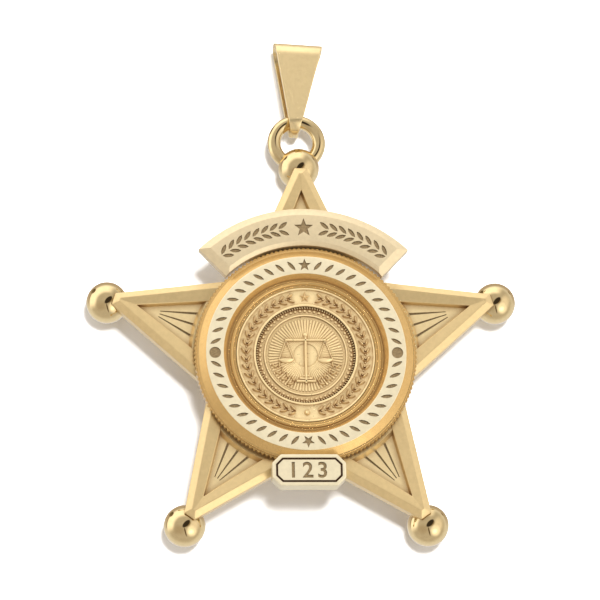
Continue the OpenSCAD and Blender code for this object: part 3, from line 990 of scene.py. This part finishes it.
def band_engraving(size):
    """Cutting tool of the band: slanting leaves, two small stars and two round dots."""
    top = top_of("centre_disc")
    spare = size.engrave_d / 2
    depth = -size.engrave_d - spare
    radius = size.band_r - size.band_w / 2
    leaf_from = size.star_r / radius
    span = pi / 2 - leaf_from - size.dot_r / radius
    leaves = int(span / size.leaf_step)
    places = []
    for half in (0, pi):
        quarter = [
            round_to(radius, -leaf_from - (i + 0.5) * span / leaves, top + spare, size.leaf_slant)
            for i in range(leaves)
        ]
        places += [Matrix.Rotation(half, 4, "Z") @ place for place in two_sided(quarter)]
    leaf = leaf_blank(size.leaf_l, size.leaf_w, depth, 0.86, 0.6)
    star = star_blank(size.star_r, depth, 0.75)
    dot = round_blank(size.dot_r, depth, 0.92, 40)
    return joined([
        copies(leaf, places, "leaves"),
        copies(star, [round_to(radius, half, top + spare) for half in (0, pi)], "stars"),
        copies(dot, [round_to(radius, half, top + spare) for half in (pi / 2, -pi / 2)], "dots"),
    ], "band_engraving")


class BADGE_OT_disc(bpy.types.Operator):
    """Turn the centre disc, mill its edge and engrave its band"""

    bl_idname = "badge.disc"
    bl_label = "Centre disc"

    def execute(self, context):
        size = Millimetres(settings().disc)
        disc = turned("centre_disc_turning", disc_section(size), 2 * size.teeth)
        outer_r = half_width_of("centre_disc")
        root_r = outer_r - size.mill_d
        tooth = pi / size.teeth
        bpy.ops.object.mode_set(mode="EDIT")
        pick(
            lambda v: v.co.xy.length > root_r - size.soft_edge * 0.6
            and v.co.z < rim_foot() + size.mill_h + 0.01
            and round(atan2(v.co.x, v.co.y) / tooth) % 2 == 0
        )
        widen(outer_r / root_r)
        bpy.ops.object.mode_set(mode="OBJECT")
        metals = ("warm_gold", "engraving_fill", "pale_gold")
        lay_metals(disc, metals)
        band = top_of("centre_disc") - size.soft_edge
        mark_faces(disc, MARKED, lambda f: middle(f).z > band and f.normal.z > 0.9)
        combine(disc, filled_from(band_engraving(size), ENGRAVED), "DIFFERENCE")
        keep_marks(disc, "centre_disc", metals)
        return {"FINISHED"}


def mark_faces(piece, slot, test):
    """Give the faces that pass a test one of the piece's metals."""
    activate(piece)
    bpy.ops.object.mode_set(mode="EDIT")
    pick(test, "FACE")
    piece.active_material_index = slot
    bpy.ops.object.material_slot_assign()
    bpy.ops.object.mode_set(mode="OBJECT")


def keep_marks(piece, node, metals):
    """Finish a piece, and keep which of its faces have which metal."""
    tidy_normals(piece, merge=1e-3)
    marks = [face.material_index for face in piece.data.polygons]
    finish_piece(piece, node, metals)
    if len(marks) != len(piece.data.polygons):
        raise RuntimeError(f"{piece.name} lost faces while it was finished")
    for face, mark in zip(piece.data.polygons, marks):
        face.material_index = mark


def seal_section(size, field, ground):
    """The seal's section, from its foot over both rims to the picture's ground."""
    edge_r = half_width_of("seal")
    half = size.inner_rim_w / 2
    return softened([
        (edge_r, foot_of("seal")),
        (edge_r, field + size.rim_w),
        (edge_r - size.rim_w, field + size.rim_w),
        (edge_r - size.rim_w, field),
        (size.inner_rim_r + half, field),
        (size.inner_rim_r + half, field + size.inner_rim_w),
        (size.inner_rim_r - half, field + size.inner_rim_w),
        (size.inner_rim_r - half, ground),
        (size.picture_r / 2, ground),
    ], size.rim_w * 0.4)


def wreath(size, field):
    """Laurel wreath round the seal, tied at the foot, with a small star at the top."""
    edge_r = half_width_of("seal") - size.rim_w
    radius = (edge_r + size.inner_rim_r + size.inner_rim_w / 2) / 2
    leaf = leaf_blank(size.leaf_l, size.leaf_w, size.relief_h, 0.7, 0.12)
    places = two_sided(laurel(
        radius, size.leaf_from, pi - size.leaf_from, size.leaf_step, size.leaf_l, field
    ))
    stem = round_blank(size.leaf_w * 0.3, size.relief_h * 0.7, 0.5, 8)
    stem_step = size.leaf_step / 2
    stems = []
    angle = size.leaf_from
    while angle < pi - size.leaf_from:
        stems.append(round_to(radius, angle, field))
        angle += stem_step
    return [
        copies(leaf, places, "leaves"),
        copies(stem, two_sided(stems), "stems"),
        copies(star_blank(size.star_r, size.relief_h, 0.15), [at(0, radius, field)], "star"),
        copies(
            round_blank(size.star_r / 2, size.relief_h, 0.5, 16), [at(0, -radius, field)], "knot"
        ),
    ]


def borders(size, ground):
    """Reeds, beads and a plain ring round the picture."""
    rope_r = size.inner_rim_r - size.inner_rim_w / 2 - size.bead_r * 0.75
    reed = bar_blank(size.bead_r * 1.3, size.bead_r * 0.9, size.relief_h)
    bead = ball_blank("bead", size.bead_r, 12, 8)
    ring_w = size.inner_rim_w * 0.7
    ring = turned("plain_ring", softened([
        (size.picture_r + ring_w, ground - RING_ROOT),
        (size.picture_r + ring_w, ground + size.relief_h * 0.8),
        (size.picture_r, ground + size.relief_h * 0.8),
        (size.picture_r, ground - RING_ROOT),
    ], ring_w * 0.4), 128)
    reeds = [
        round_to(rope_r, i * 2 * pi / size.reeds, ground, pi / 2 + 0.35) for i in range(size.reeds)
    ]
    beads = [round_to(size.bead_circle, i * 2 * pi / size.beads, ground) for i in range(size.beads)]
    return [copies(reed, reeds, "reeds"), copies(bead, beads, "beads"), ring]


def scales(size, ground):
    """Scales on a stepped foot, between laurel sprays, before a fan of rays."""
    bar = size.bar_w
    high = size.relief_h
    parts = [
        bar_between(bar, high, (0, size.foot_y), (0, size.beam_y + bar), ground),
        bar_between(
            bar, high, (-size.beam_half, size.beam_y), (size.beam_half, size.beam_y), ground
        ),
    ]
    finial = ball_blank("finial", bar, 16, 10)
    parts.append(copies(finial, [at(0, size.beam_y + 2 * bar, ground)], "finial"))
    for i in range(3):
        step = bar_blank(size.foot_w * (1 - i / 3), bar, high * (1 - 0.18 * i))
        parts.append(copies(step, [at(0, size.foot_y + (i + 0.5) * bar, ground)], "step"))
    for side in (-1, 1):
        hook = (side * size.beam_half, size.beam_y)
        for edge in (-1, 1):
            rim = (side * size.beam_half + edge * (size.pan_r - size.chain_w), size.pan_y)
            parts.append(bar_between(size.chain_w, high * 0.7, hook, rim, ground))
        bpy.ops.mesh.primitive_uv_sphere_add(segments=24, ring_count=16, radius=size.pan_r)
        pan = start("pan")
        cut_off((0, 0, 0), (0, 1, 0))
        bpy.ops.mesh.select_all(action="SELECT")
        widen(1, 0.55, 0.45)
        tidy_normals(pan)
        parts.append(copies(pan, [at(side * size.beam_half, size.pan_y, ground)], "pan"))
    leaf = leaf_blank(size.leaf_l, size.leaf_w, high, 0.7, 0.12)
    sprays = two_sided(laurel(
        size.spray_r, pi - size.spray_to, pi - size.spray_from, size.spray_step, size.leaf_l, ground
    ))
    parts.append(copies(leaf, sprays, "sprays"))
    return parts


def ray_fan(size, ground):
    """Thin rays that spread behind the scales."""
    inner, outer = size.picture_r * 0.3, size.picture_r * 0.93
    length = outer - inner
    width = 2 * pi * outer / size.rays * 0.62
    ray = bar_blank(length, width, size.relief_h * 0.4)
    places = [
        Matrix.Rotation(i * 2 * pi / size.rays, 4, "Z")
        @ at(0, (inner + outer) / 2, ground - RAY_ROOT, pi / 2)
        for i in range(size.rays)
    ]
    return copies(ray, places, "rays")


class BADGE_OT_seal(bpy.types.Operator):
    """Strike the seal with its wreath, borders and scales"""

    bl_idname = "badge.seal"
    bl_label = "Seal"

    def execute(self, context):
        size = Millimetres(settings().seal)
        field = foot_of("seal") + size.field_t
        ground = field - size.ground_d
        base = turned("seal_base", seal_section(size, field, ground), 256)
        relief = wreath(size, field) + borders(size, ground) + scales(size, ground)
        seal = joined([base, ray_fan(size, ground), *relief], "seal_relief")
        finish_piece(seal, "seal", ["seal_gold"])
        return {"FINISHED"}


def banner_arch(size):
    """The banner's body: a bevelled section swept round the disc, with its ends cut on a slope."""
    foot, top = foot_of("banner"), top_of("banner")
    deselect()
    bpy.ops.mesh.primitive_plane_add(
        size=1, location=((size.inner_r + size.outer_r) / 2, 0, (foot + top) / 2),
        rotation=(pi / 2, 0, 0),
    )
    bpy.context.object.scale = (size.outer_r - size.inner_r, top - foot, 1)
    banner = start("banner_arch")
    inner_top_r = size.inner_r + size.inner_bevel_w
    cut_off((size.outer_r, 0, top - size.bevel_h), (size.bevel_h, 0, size.bevel_w), fill=False)
    cut_off((inner_top_r, 0, top), (-size.bevel_h, 0, size.bevel_w), fill=False)
    bpy.ops.mesh.select_all(action="SELECT")
    # Swept a little too far, so that its ends can be cut off on a slope
    sweep = 2 * (size.half_angle + radians(3))
    bpy.ops.mesh.spin(steps=120, angle=sweep, center=(0, 0, 0), axis=(0, 0, 1))
    bpy.ops.object.mode_set(mode="OBJECT")
    points = [v.co for v in banner.data.vertices]
    turn_to_top = pi / 2 - sum(atan2(p.y, p.x) for p in points) / len(points)
    banner.data.transform(Matrix.Rotation(turn_to_top, 4, "Z"))
    tidy_normals(banner)
    bpy.ops.object.mode_set(mode="EDIT")
    for side in (-1, 1):
        out = Vector((side * cos(size.half_angle), -sin(size.half_angle), 0))
        corner = Vector((0, 0, top - size.bevel_h))
        cut_off(corner, out * size.bevel_h + Vector((0, 0, size.bevel_w)))
        cut_off((0, 0, 0), out)
    tidy_normals(banner)
    soften(banner, size.soft_edge, limit=12)
    return banner


def banner_engraving(size):
    """Cutting tool of the banner: a laurel spray on either side of a small star."""
    spare = size.engrave_d / 2
    z = top_of("banner") + spare
    depth = -size.engrave_d - spare
    radius = (size.inner_r + size.inner_bevel_w + size.outer_r - size.bevel_w) / 2
    leaves = two_sided(laurel(
        radius, size.leaf_from, size.leaf_to, size.leaf_step, size.leaf_l, z
    ))
    leaf = leaf_blank(size.leaf_l, size.leaf_w, depth, 0.86, 0.6)
    star = star_blank(size.star_r, depth, 0.8)
    return joined([
        copies(leaf, leaves, "leaves"), copies(star, [at(0, radius, z)], "star")
    ], "banner_engraving")


class BADGE_OT_banner(bpy.types.Operator):
    """Shape the arched banner and engrave its laurel"""

    bl_idname = "badge.banner"
    bl_label = "Banner"

    def execute(self, context):
        size = Millimetres(settings().banner)
        banner = banner_arch(size)
        metals = ("banner_gold", "engraving_fill")
        lay_metals(banner, metals)
        combine(banner, filled_from(banner_engraving(size), ENGRAVED), "DIFFERENCE")
        keep_marks(banner, "banner", metals)
        return {"FINISHED"}


def digits(size, y, top):
    """Cutting tool of the number."""
    bpy.ops.object.text_add(location=(0, 0, 0))
    text = bpy.context.object
    text.data.body = "123"
    text.data.align_x = "CENTER"
    text.data.align_y = "CENTER"
    text.data.size = size.digit_h / DIGIT_SHARE
    text.data.offset = size.digit_h * DIGIT_BOLD
    text.data.resolution_u = 5
    text.data.space_character = size.digit_pitch / DIGIT_ADVANCE / size.digit_h
    text.data.extrude = size.engrave_d
    bpy.ops.object.convert(target="MESH")
    number = bpy.context.object
    number.location = (0, y, top)
    bpy.ops.object.transform_apply(location=True, rotation=True, scale=True)
    tidy_normals(number)
    points = [v.co for v in number.data.vertices]
    middle_x, middle_y = (
        (min(p[k] for p in points) + max(p[k] for p in points)) / 2 for k in (0, 1)
    )
    number.data.transform(Matrix.Translation((-middle_x, y - middle_y, 0)))
    return number


def plate_blank(size, wide, tall):
    """The plate's body: eight-sided, round the middle, with its edges polished over."""
    foot = foot_of("number_plate")
    deselect()
    bpy.ops.mesh.primitive_plane_add(size=1, location=(0, 0, foot))
    bpy.context.object.scale = (wide, tall, 1)
    plate = start("number_plate_blank")
    for across in (-1, 1):
        for up in (-1, 1):
            out = Vector((across, up, 0)).normalized()
            corner = Vector((across * (wide / 2 - size.corner), up * tall / 2, foot))
            cut_off(corner, out, fill=False)
    bpy.ops.mesh.select_all(action="SELECT")
    raise_by(top_of("number_plate") - foot)
    tidy_normals(plate)
    soften(plate, size.soft_edge, limit=30)
    return plate


def sink_border(plate, size):
    """Sink the groove that runs round the number, in a metal of its own."""
    bpy.ops.object.mode_set(mode="EDIT")
    pick(lambda f: faces_up(f) and middle(f).xy.length < SAME_MIDDLE, "FACE")
    bpy.ops.mesh.inset(thickness=size.frame_inset - size.soft_edge, depth=0)
    plate.active_material_index = MARKED
    bpy.ops.object.material_slot_assign()
    bpy.ops.mesh.inset(thickness=size.frame_w, depth=0)
    plate.active_material_index = PLAIN
    bpy.ops.object.material_slot_assign()
    pick(lambda f: f.material_index == MARKED, "FACE")
    raise_by(-size.engrave_d)
    bpy.ops.object.mode_set(mode="OBJECT")


class BADGE_OT_plate(bpy.types.Operator):
    """Make the eight-sided number plate"""

    bl_idname = "badge.plate"
    bl_label = "Number plate"

    def execute(self, context):
        size = Millimetres(settings().plate)
        disc = Millimetres(settings().disc)
        low, high = ((corner - STAR_CENTRE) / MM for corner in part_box("number_plate"))
        y = (low.y + high.y) / 2
        plate = plate_blank(size, high.x - low.x, high.y - low.y)
        metals = ("pale_gold", "engraving_fill", "outline_fill")
        lay_metals(plate, metals)
        sink_border(plate, size)
        plate.data.transform(Matrix.Translation((0, y, 0)))
        tidy_normals(plate)
        number = digits(size, y, top_of("number_plate"))
        combine(plate, filled_from(number, ENGRAVED), "DIFFERENCE")
        lap_z = rim_foot() + disc.mill_h + disc.lip_h + LAP_PLAY
        lap_r = half_width_of("centre_disc") + disc.seat_gap
        lap = drum_blank("lap", lap_r, lap_z - TOOL_LENGTH, lap_z, 256)
        combine(plate, filled_from(lap, PLAIN), "DIFFERENCE")
        keep_marks(plate, "number_plate", metals)
        return {"FINISHED"}


def hanger_place(reach):
    """A point at a distance from the top ball's centre, the way that the ring hangs."""
    star = Millimetres(settings().star)
    lean = settings().hanger.ring_lean
    return (-reach * sin(lean), star.ball_circle + reach * cos(lean), star.ball_r)


class BADGE_OT_ring(bpy.types.Operator):
    """Bend the jump ring from round wire"""

    bl_idname = "badge.ring"
    bl_label = "Jump ring"

    def execute(self, context):
        size = Millimetres(settings().hanger)
        deselect()
        bpy.ops.mesh.primitive_circle_add(
            vertices=48, radius=size.wire_r, location=(size.ring_r, 0, 0), rotation=(pi / 2, 0, 0)
        )
        ring = start("jump_ring_wire")
        bpy.ops.mesh.spin(steps=144, angle=2 * pi, center=(0, 0, 0), axis=(0, 0, 1))
        bpy.ops.object.mode_set(mode="OBJECT")
        ring.data.transform(Matrix.Translation(hanger_place(size.ring_rise)))
        finish_piece(ring, "jump_ring", ["mirror_gold"])
        return {"FINISHED"}


def strap_half_width(size, y):
    """Half of the strap's width at a distance from the ring's wire."""
    tip_half = size.tip_w / 2
    tip_y = tip_half - size.tip_r
    if y < tip_y:
        return sqrt(max(tip_half ** 2 - (y - tip_y) ** 2, STRAP_LEAST ** 2))
    share = (y - tip_y) / (size.bail_span + size.fold_r - tip_y)
    return tip_half + share * (size.bail_w - size.tip_w) / 2


def bail_strap(size):
    """The bail as a closed loop of tapered strap, from the ring's wire at the origin upwards."""
    deselect()
    bpy.ops.mesh.primitive_circle_add(
        vertices=64, radius=size.fold_r, location=(0, 0, 0), rotation=(0, pi / 2, 0)
    )
    bail = start("bail_strap")
    pick(lambda v: v.co.y < -SAME_ROW)
    share = size.tip_r / size.fold_r
    widen(1, share, share)
    pick(lambda v: v.co.y >= -SAME_ROW)
    bpy.ops.transform.translate(value=(0, size.bail_span, 0))
    # Drawn out one unit to either side, and then brought to its width row by row
    bpy.ops.mesh.select_all(action="SELECT")
    bpy.ops.transform.translate(value=(-1, 0, 0))
    bpy.ops.mesh.extrude_region_move(TRANSFORM_OT_translate={"value": (2, 0, 0)})
    rows = sorted({round(v.co.y, 4) for v in bmesh.from_edit_mesh(bail.data).verts})
    for row in rows:
        pick(lambda v: abs(v.co.y - row) < SAME_ROW)
        widen(strap_half_width(size, row), 1)
    tidy_normals(bail)
    apply_modifier(bail, "SOLIDIFY", thickness=size.strap_t, offset=-1, use_even_offset=True)
    soften(bail, size.strap_t / 6, limit=50)
    return bail


class BADGE_OT_bail(bpy.types.Operator):
    """Fold the bail from tapered strap, round the ring"""

    bl_idname = "badge.bail"
    bl_label = "Bail"

    def execute(self, context):
        size = Millimetres(settings().hanger)
        star = Millimetres(settings().star)
        bail = bail_strap(size)
        # It hangs on the wire at the height of the top ball's middle, and its fold lies on the floor
        hook = hanger_place(size.ring_rise + size.ring_r)
        tilt = asin((size.fold_r - star.ball_r) / size.bail_span)
        bail.data.transform(
            Matrix.Translation(hook)
            @ Matrix.Rotation(-size.lean, 4, "Z") @ Matrix.Rotation(tilt, 4, "X")
        )
        finish_piece(bail, "bail", ["bail_gold"])
        return {"FINISHED"}


class BADGE_OT_metals(bpy.types.Operator):
    """Mix the metals and the engraving fills"""

    bl_idname = "badge.metals"
    bl_label = "Metals"

    def execute(self, context):
        mix_metals()
        return {"FINISHED"}


def key_lamp(place, side, power):
    """Square lamp that looks at the badge, with its place and its side in metres."""
    bpy.ops.object.light_add(type="AREA", location=place)
    lamp = bpy.context.object
    lamp.name = "key_lamp"
    lamp.data.shape = "SQUARE"
    lamp.data.size = side
    lamp.data.energy = power
    lamp.visible_glossy = False
    direction = Vector((STAR_CENTRE.x, STAR_CENTRE.y, 0)) - lamp.location
    lamp.rotation_mode = "QUATERNION"
    lamp.rotation_quaternion = direction.to_track_quat("-Z", "Y")


class Room:
    """Paints the light of the room as a polished ball shows it from the camera's place.

    A place on the ball has two parts, to the right and up, with the ball's rim at a distance
    of one. The middle of the ball mirrors the camera's side of the room."""

    def __init__(self, look_from, right, up, shade):
        self.world = bpy.data.worlds.new("studio")
        self.world.use_nodes = True
        self.tree = self.world.node_tree
        self.shade = self.tree.nodes.new("ShaderNodeRGB").outputs[0]
        self.shade.default_value = (*shade, 1)
        way = self.tree.nodes.new("ShaderNodeTexCoord").outputs["Generated"]
        halfway = self.vector("NORMALIZE", self.vector("ADD", way, look_from))
        self.spot = self.tree.nodes.new("ShaderNodeCombineXYZ")
        for axis, direction in (("X", right), ("Y", up)):
            part = self.vector("DOT_PRODUCT", halfway, direction, output="Value")
            self.tree.links.new(part, self.spot.inputs[axis])

    def vector(self, operation, first, second=None, output="Vector"):
        """Work on vectors, where the second one is a plain value."""
        node = self.tree.nodes.new("ShaderNodeVectorMath")
        node.operation = operation
        self.tree.links.new(first, node.inputs[0])
        if second is not None:
            node.inputs[1].default_value = second
        return node.outputs[output]

    def eased(self, value, low, high):
        """A share that goes from 0 at one value to 1 at another."""
        ease = self.tree.nodes.new("ShaderNodeMapRange")
        ease.interpolation_type = "SMOOTHSTEP"
        self.tree.links.new(value, ease.inputs["Value"])
        ease.inputs["From Min"].default_value = low
        ease.inputs["From Max"].default_value = high
        return ease.outputs["Result"]

    def paint(self, shade, *shares):
        """Lay a shade over the room where all of the shares are high."""
        share = shares[0]
        for other in shares[1:]:
            product = self.tree.nodes.new("ShaderNodeMath")
            product.operation = "MULTIPLY"
            self.tree.links.new(share, product.inputs[0])
            self.tree.links.new(other, product.inputs[1])
            share = product.outputs["Value"]
        mix = self.tree.nodes.new("ShaderNodeMix")
        mix.data_type = "RGBA"
        self.tree.links.new(share, mix.inputs[0])
        self.tree.links.new(self.shade, mix.inputs[6])
        mix.inputs[7].default_value = (*shade, 1)
        self.shade = mix.outputs[2]

    def oval(self, shade, place, radii, slant=0.0, core=0.5):
        """Lay an oval patch over the room, which fades from a share of its radii outwards."""
        mapped = self.tree.nodes.new("ShaderNodeMapping")
        mapped.vector_type = "TEXTURE"
        self.tree.links.new(self.spot.outputs[0], mapped.inputs["Vector"])
        mapped.inputs["Location"].default_value = (*place, 0)
        mapped.inputs["Rotation"].default_value = (0, 0, radians(slant))
        mapped.inputs["Scale"].default_value = (*radii, 1)
        reach = self.vector("LENGTH", mapped.outputs["Vector"], output="Value")
        self.paint(shade, self.eased(reach, 1.0, core))

    def arc(self, shade, middle_angle, spread, radii, fade):
        """Lay an arc round the ball's middle over the room, between two radii."""
        reach = self.vector("LENGTH", self.spot.outputs[0], output="Value")
        way = self.vector("NORMALIZE", self.spot.outputs[0])
        towards = (cos(radians(middle_angle)), sin(radians(middle_angle)), 0)
        lean = self.vector("DOT_PRODUCT", way, towards, output="Value")
        self.paint(
            shade,
            self.eased(lean, cos(radians(spread)), cos(radians(spread * 0.55))),
            self.eased(reach, radii[0] - fade, radii[0] + fade),
            self.eased(reach, radii[1] + fade / 2, radii[1] - fade / 2),
        )

    def light(self):
        """Use the room for the scene."""
        self.tree.links.new(self.shade, self.tree.nodes["Background"].inputs["Color"])
        bpy.context.scene.world = self.world


def studio_room(look_from, right, up):
    """Warm soft room with windows to the upper left and the lower right, and a dark lens."""
    # An oval has its shade, place, radii, slant in degrees and the core's share of the radii.
    # An arc has its shade, middle and spread in degrees, two radii and the width that it fades
    room = Room(look_from, right, up, (0.88, 0.87, 0.88))
    room.oval((0.62, 0.58, 0.55), (0.0, 0.0), (0.86, 0.86), core=0.8)
    room.arc((0.55, 0.47, 0.40), 90, 110, (0.86, 1.1), 0.05)
    room.arc((1.55, 1.5, 1.45), 132, 78, (0.52, 0.82), 0.09)
    room.oval((0.52, 0.46, 0.40), (-0.26, -0.16), (0.42, 0.34), core=0.2)
    room.oval((1.05, 0.98, 0.92), (0.46, 0.02), (0.30, 0.52), -12, 0.35)
    room.oval((1.35, 1.30, 1.24), (0.34, -0.22), (0.30, 0.34), 0, 0.45)
    room.oval((2.3, 2.25, 2.1), (0.32, -0.25), (0.17, 0.15), 40, 0.1)
    room.oval((0.16, 0.12, 0.07), (-0.64, 0.55), (0.18, 0.09), 48, 0.6)
    room.arc((0.38, 0.30, 0.22), 163, 30, (0.835, 0.87), 0.02)
    room.oval((0.30, 0.24, 0.16), (0.70, 0.52), (0.13, 0.03), -55, 0.5)
    room.oval((0.36, 0.28, 0.18), (0.17, 0.12), (0.22, 0.12), 45, 0.5)
    room.oval((0.05, 0.04, 0.03), (0.09, 0.14), (0.27, 0.13), 45, 0.7)
    room.oval((0.14, 0.10, 0.06), (0.045, -0.25), (0.29, 0.04), -76, 0.5)
    room.light()


class BADGE_OT_stage(bpy.types.Operator):
    """Set the floor, the camera, the room and the lamp"""

    bl_idname = "badge.stage"
    bl_label = "Stage"

    def execute(self, context):
        setup = settings().stage
        deselect()
        bpy.ops.mesh.primitive_plane_add(size=1.2, location=(0, 0, 0))
        floor = bpy.context.object
        floor.name = "floor"
        paint = Recipe("white_paper")
        paint.shader.inputs["Roughness"].default_value = 0.9
        paint.shader.inputs["Specular IOR Level"].default_value = 0.1
        fibre = paint.grain(0.002)
        paint.feed(
            paint.shader.inputs["Base Color"],
            paint.mixed(fibre, (0.93, 0.93, 0.93, 1), (0.96, 0.96, 0.96, 1)),
        )
        floor.data.materials.append(paint.material)
        floor.visible_glossy = False
        axes = self.camera(setup)
        studio_room(axes.col[2], axes.col[0], axes.col[1])
        key_lamp((0.07, 0.09, 0.50), 0.15, setup.lamp_power)
        bpy.context.scene.view_settings.view_transform = "Standard"
        return {"FINISHED"}

    def camera(self, setup):
        """Place the camera at the photograph's angle, and return its axes."""
        frame_px, sensor = 600, 36.0
        target = Vector((STAR_CENTRE.x, STAR_CENTRE.y, setup.target_z))
        left, down = -sin(setup.azimuth), -sin(setup.elevation)
        look_from = Vector((left, down, sqrt(1 - left ** 2 - down ** 2)))
        bpy.ops.object.camera_add(location=target + look_from * setup.distance)
        camera = bpy.context.object
        camera.name = "camera"
        ahead = -look_from
        right = ahead.cross(Vector((0, 1, 0))).normalized()
        up = right.cross(ahead)
        turned_right = cos(setup.roll) * right + sin(setup.roll) * up
        turned_up = cos(setup.roll) * up - sin(setup.roll) * right
        axes = Matrix((turned_right, turned_up, look_from)).transposed()
        camera.rotation_mode = "QUATERNION"
        camera.rotation_quaternion = axes.to_quaternion()
        focal_px = setup.scale * setup.distance / MM
        camera.data.sensor_width = sensor
        camera.data.lens = focal_px / frame_px * sensor
        camera.data.shift_x = (frame_px / 2 - setup.target_x) / frame_px
        camera.data.shift_y = (setup.target_y - frame_px / 2) / frame_px
        camera.data.clip_start = 0.01
        bpy.context.scene.camera = camera
        return axes


class BADGE_PT_panel(bpy.types.Panel):
    """Buttons and sizes of the badge"""

    bl_idname = "BADGE_PT_panel"
    bl_label = "Star badge"
    bl_space_type = "VIEW_3D"
    bl_region_type = "UI"
    bl_category = "Badge"

    def draw(self, context):
        groups = {
            "star": "badge.star", "disc": "badge.disc", "seal": "badge.seal",
            "banner": "badge.banner", "plate": "badge.plate", "hanger": "badge.bail",
            "finishes": "badge.metals", "stage": "badge.stage",
        }
        for name, operator in groups.items():
            box = self.layout.box()
            box.operator(operator)
            if name == "hanger":
                box.operator("badge.ring")
            group = getattr(settings(), name)
            for item in group.bl_rna.properties:
                if item.identifier not in ("rna_type", "name"):
                    box.prop(group, item.identifier)


OPERATORS = (
    BADGE_OT_metals, BADGE_OT_star, BADGE_OT_disc, BADGE_OT_seal, BADGE_OT_banner,
    BADGE_OT_plate, BADGE_OT_ring, BADGE_OT_bail, BADGE_OT_stage,
)
GROUPS = (
    StarSizes, DiscSizes, SealSizes, BannerSizes, PlateSizes, HangerSizes, Finishes, StageSetup,
    BadgeSettings,
)


def register():
    """Add the badge's settings, its operators and its panel to Blender."""
    for item in (*GROUPS, *OPERATORS, BADGE_PT_panel):
        bpy.utils.register_class(item)
    bpy.types.Scene.badge = bpy.props.PointerProperty(type=BadgeSettings)


def unregister():
    """Take them out again."""
    del bpy.types.Scene.badge
    for item in reversed((*GROUPS, *OPERATORS, BADGE_PT_panel)):
        bpy.utils.unregister_class(item)


def main():
    """Build the badge and its stage."""
    register()
    bpy.ops.badge.metals()
    bpy.ops.badge.star()
    bpy.ops.badge.disc()
    bpy.ops.badge.seal()
    bpy.ops.badge.banner()
    bpy.ops.badge.plate()
    bpy.ops.badge.ring()
    bpy.ops.badge.bail()
    bpy.ops.badge.stage()


if __name__ == "__main__":
    main()
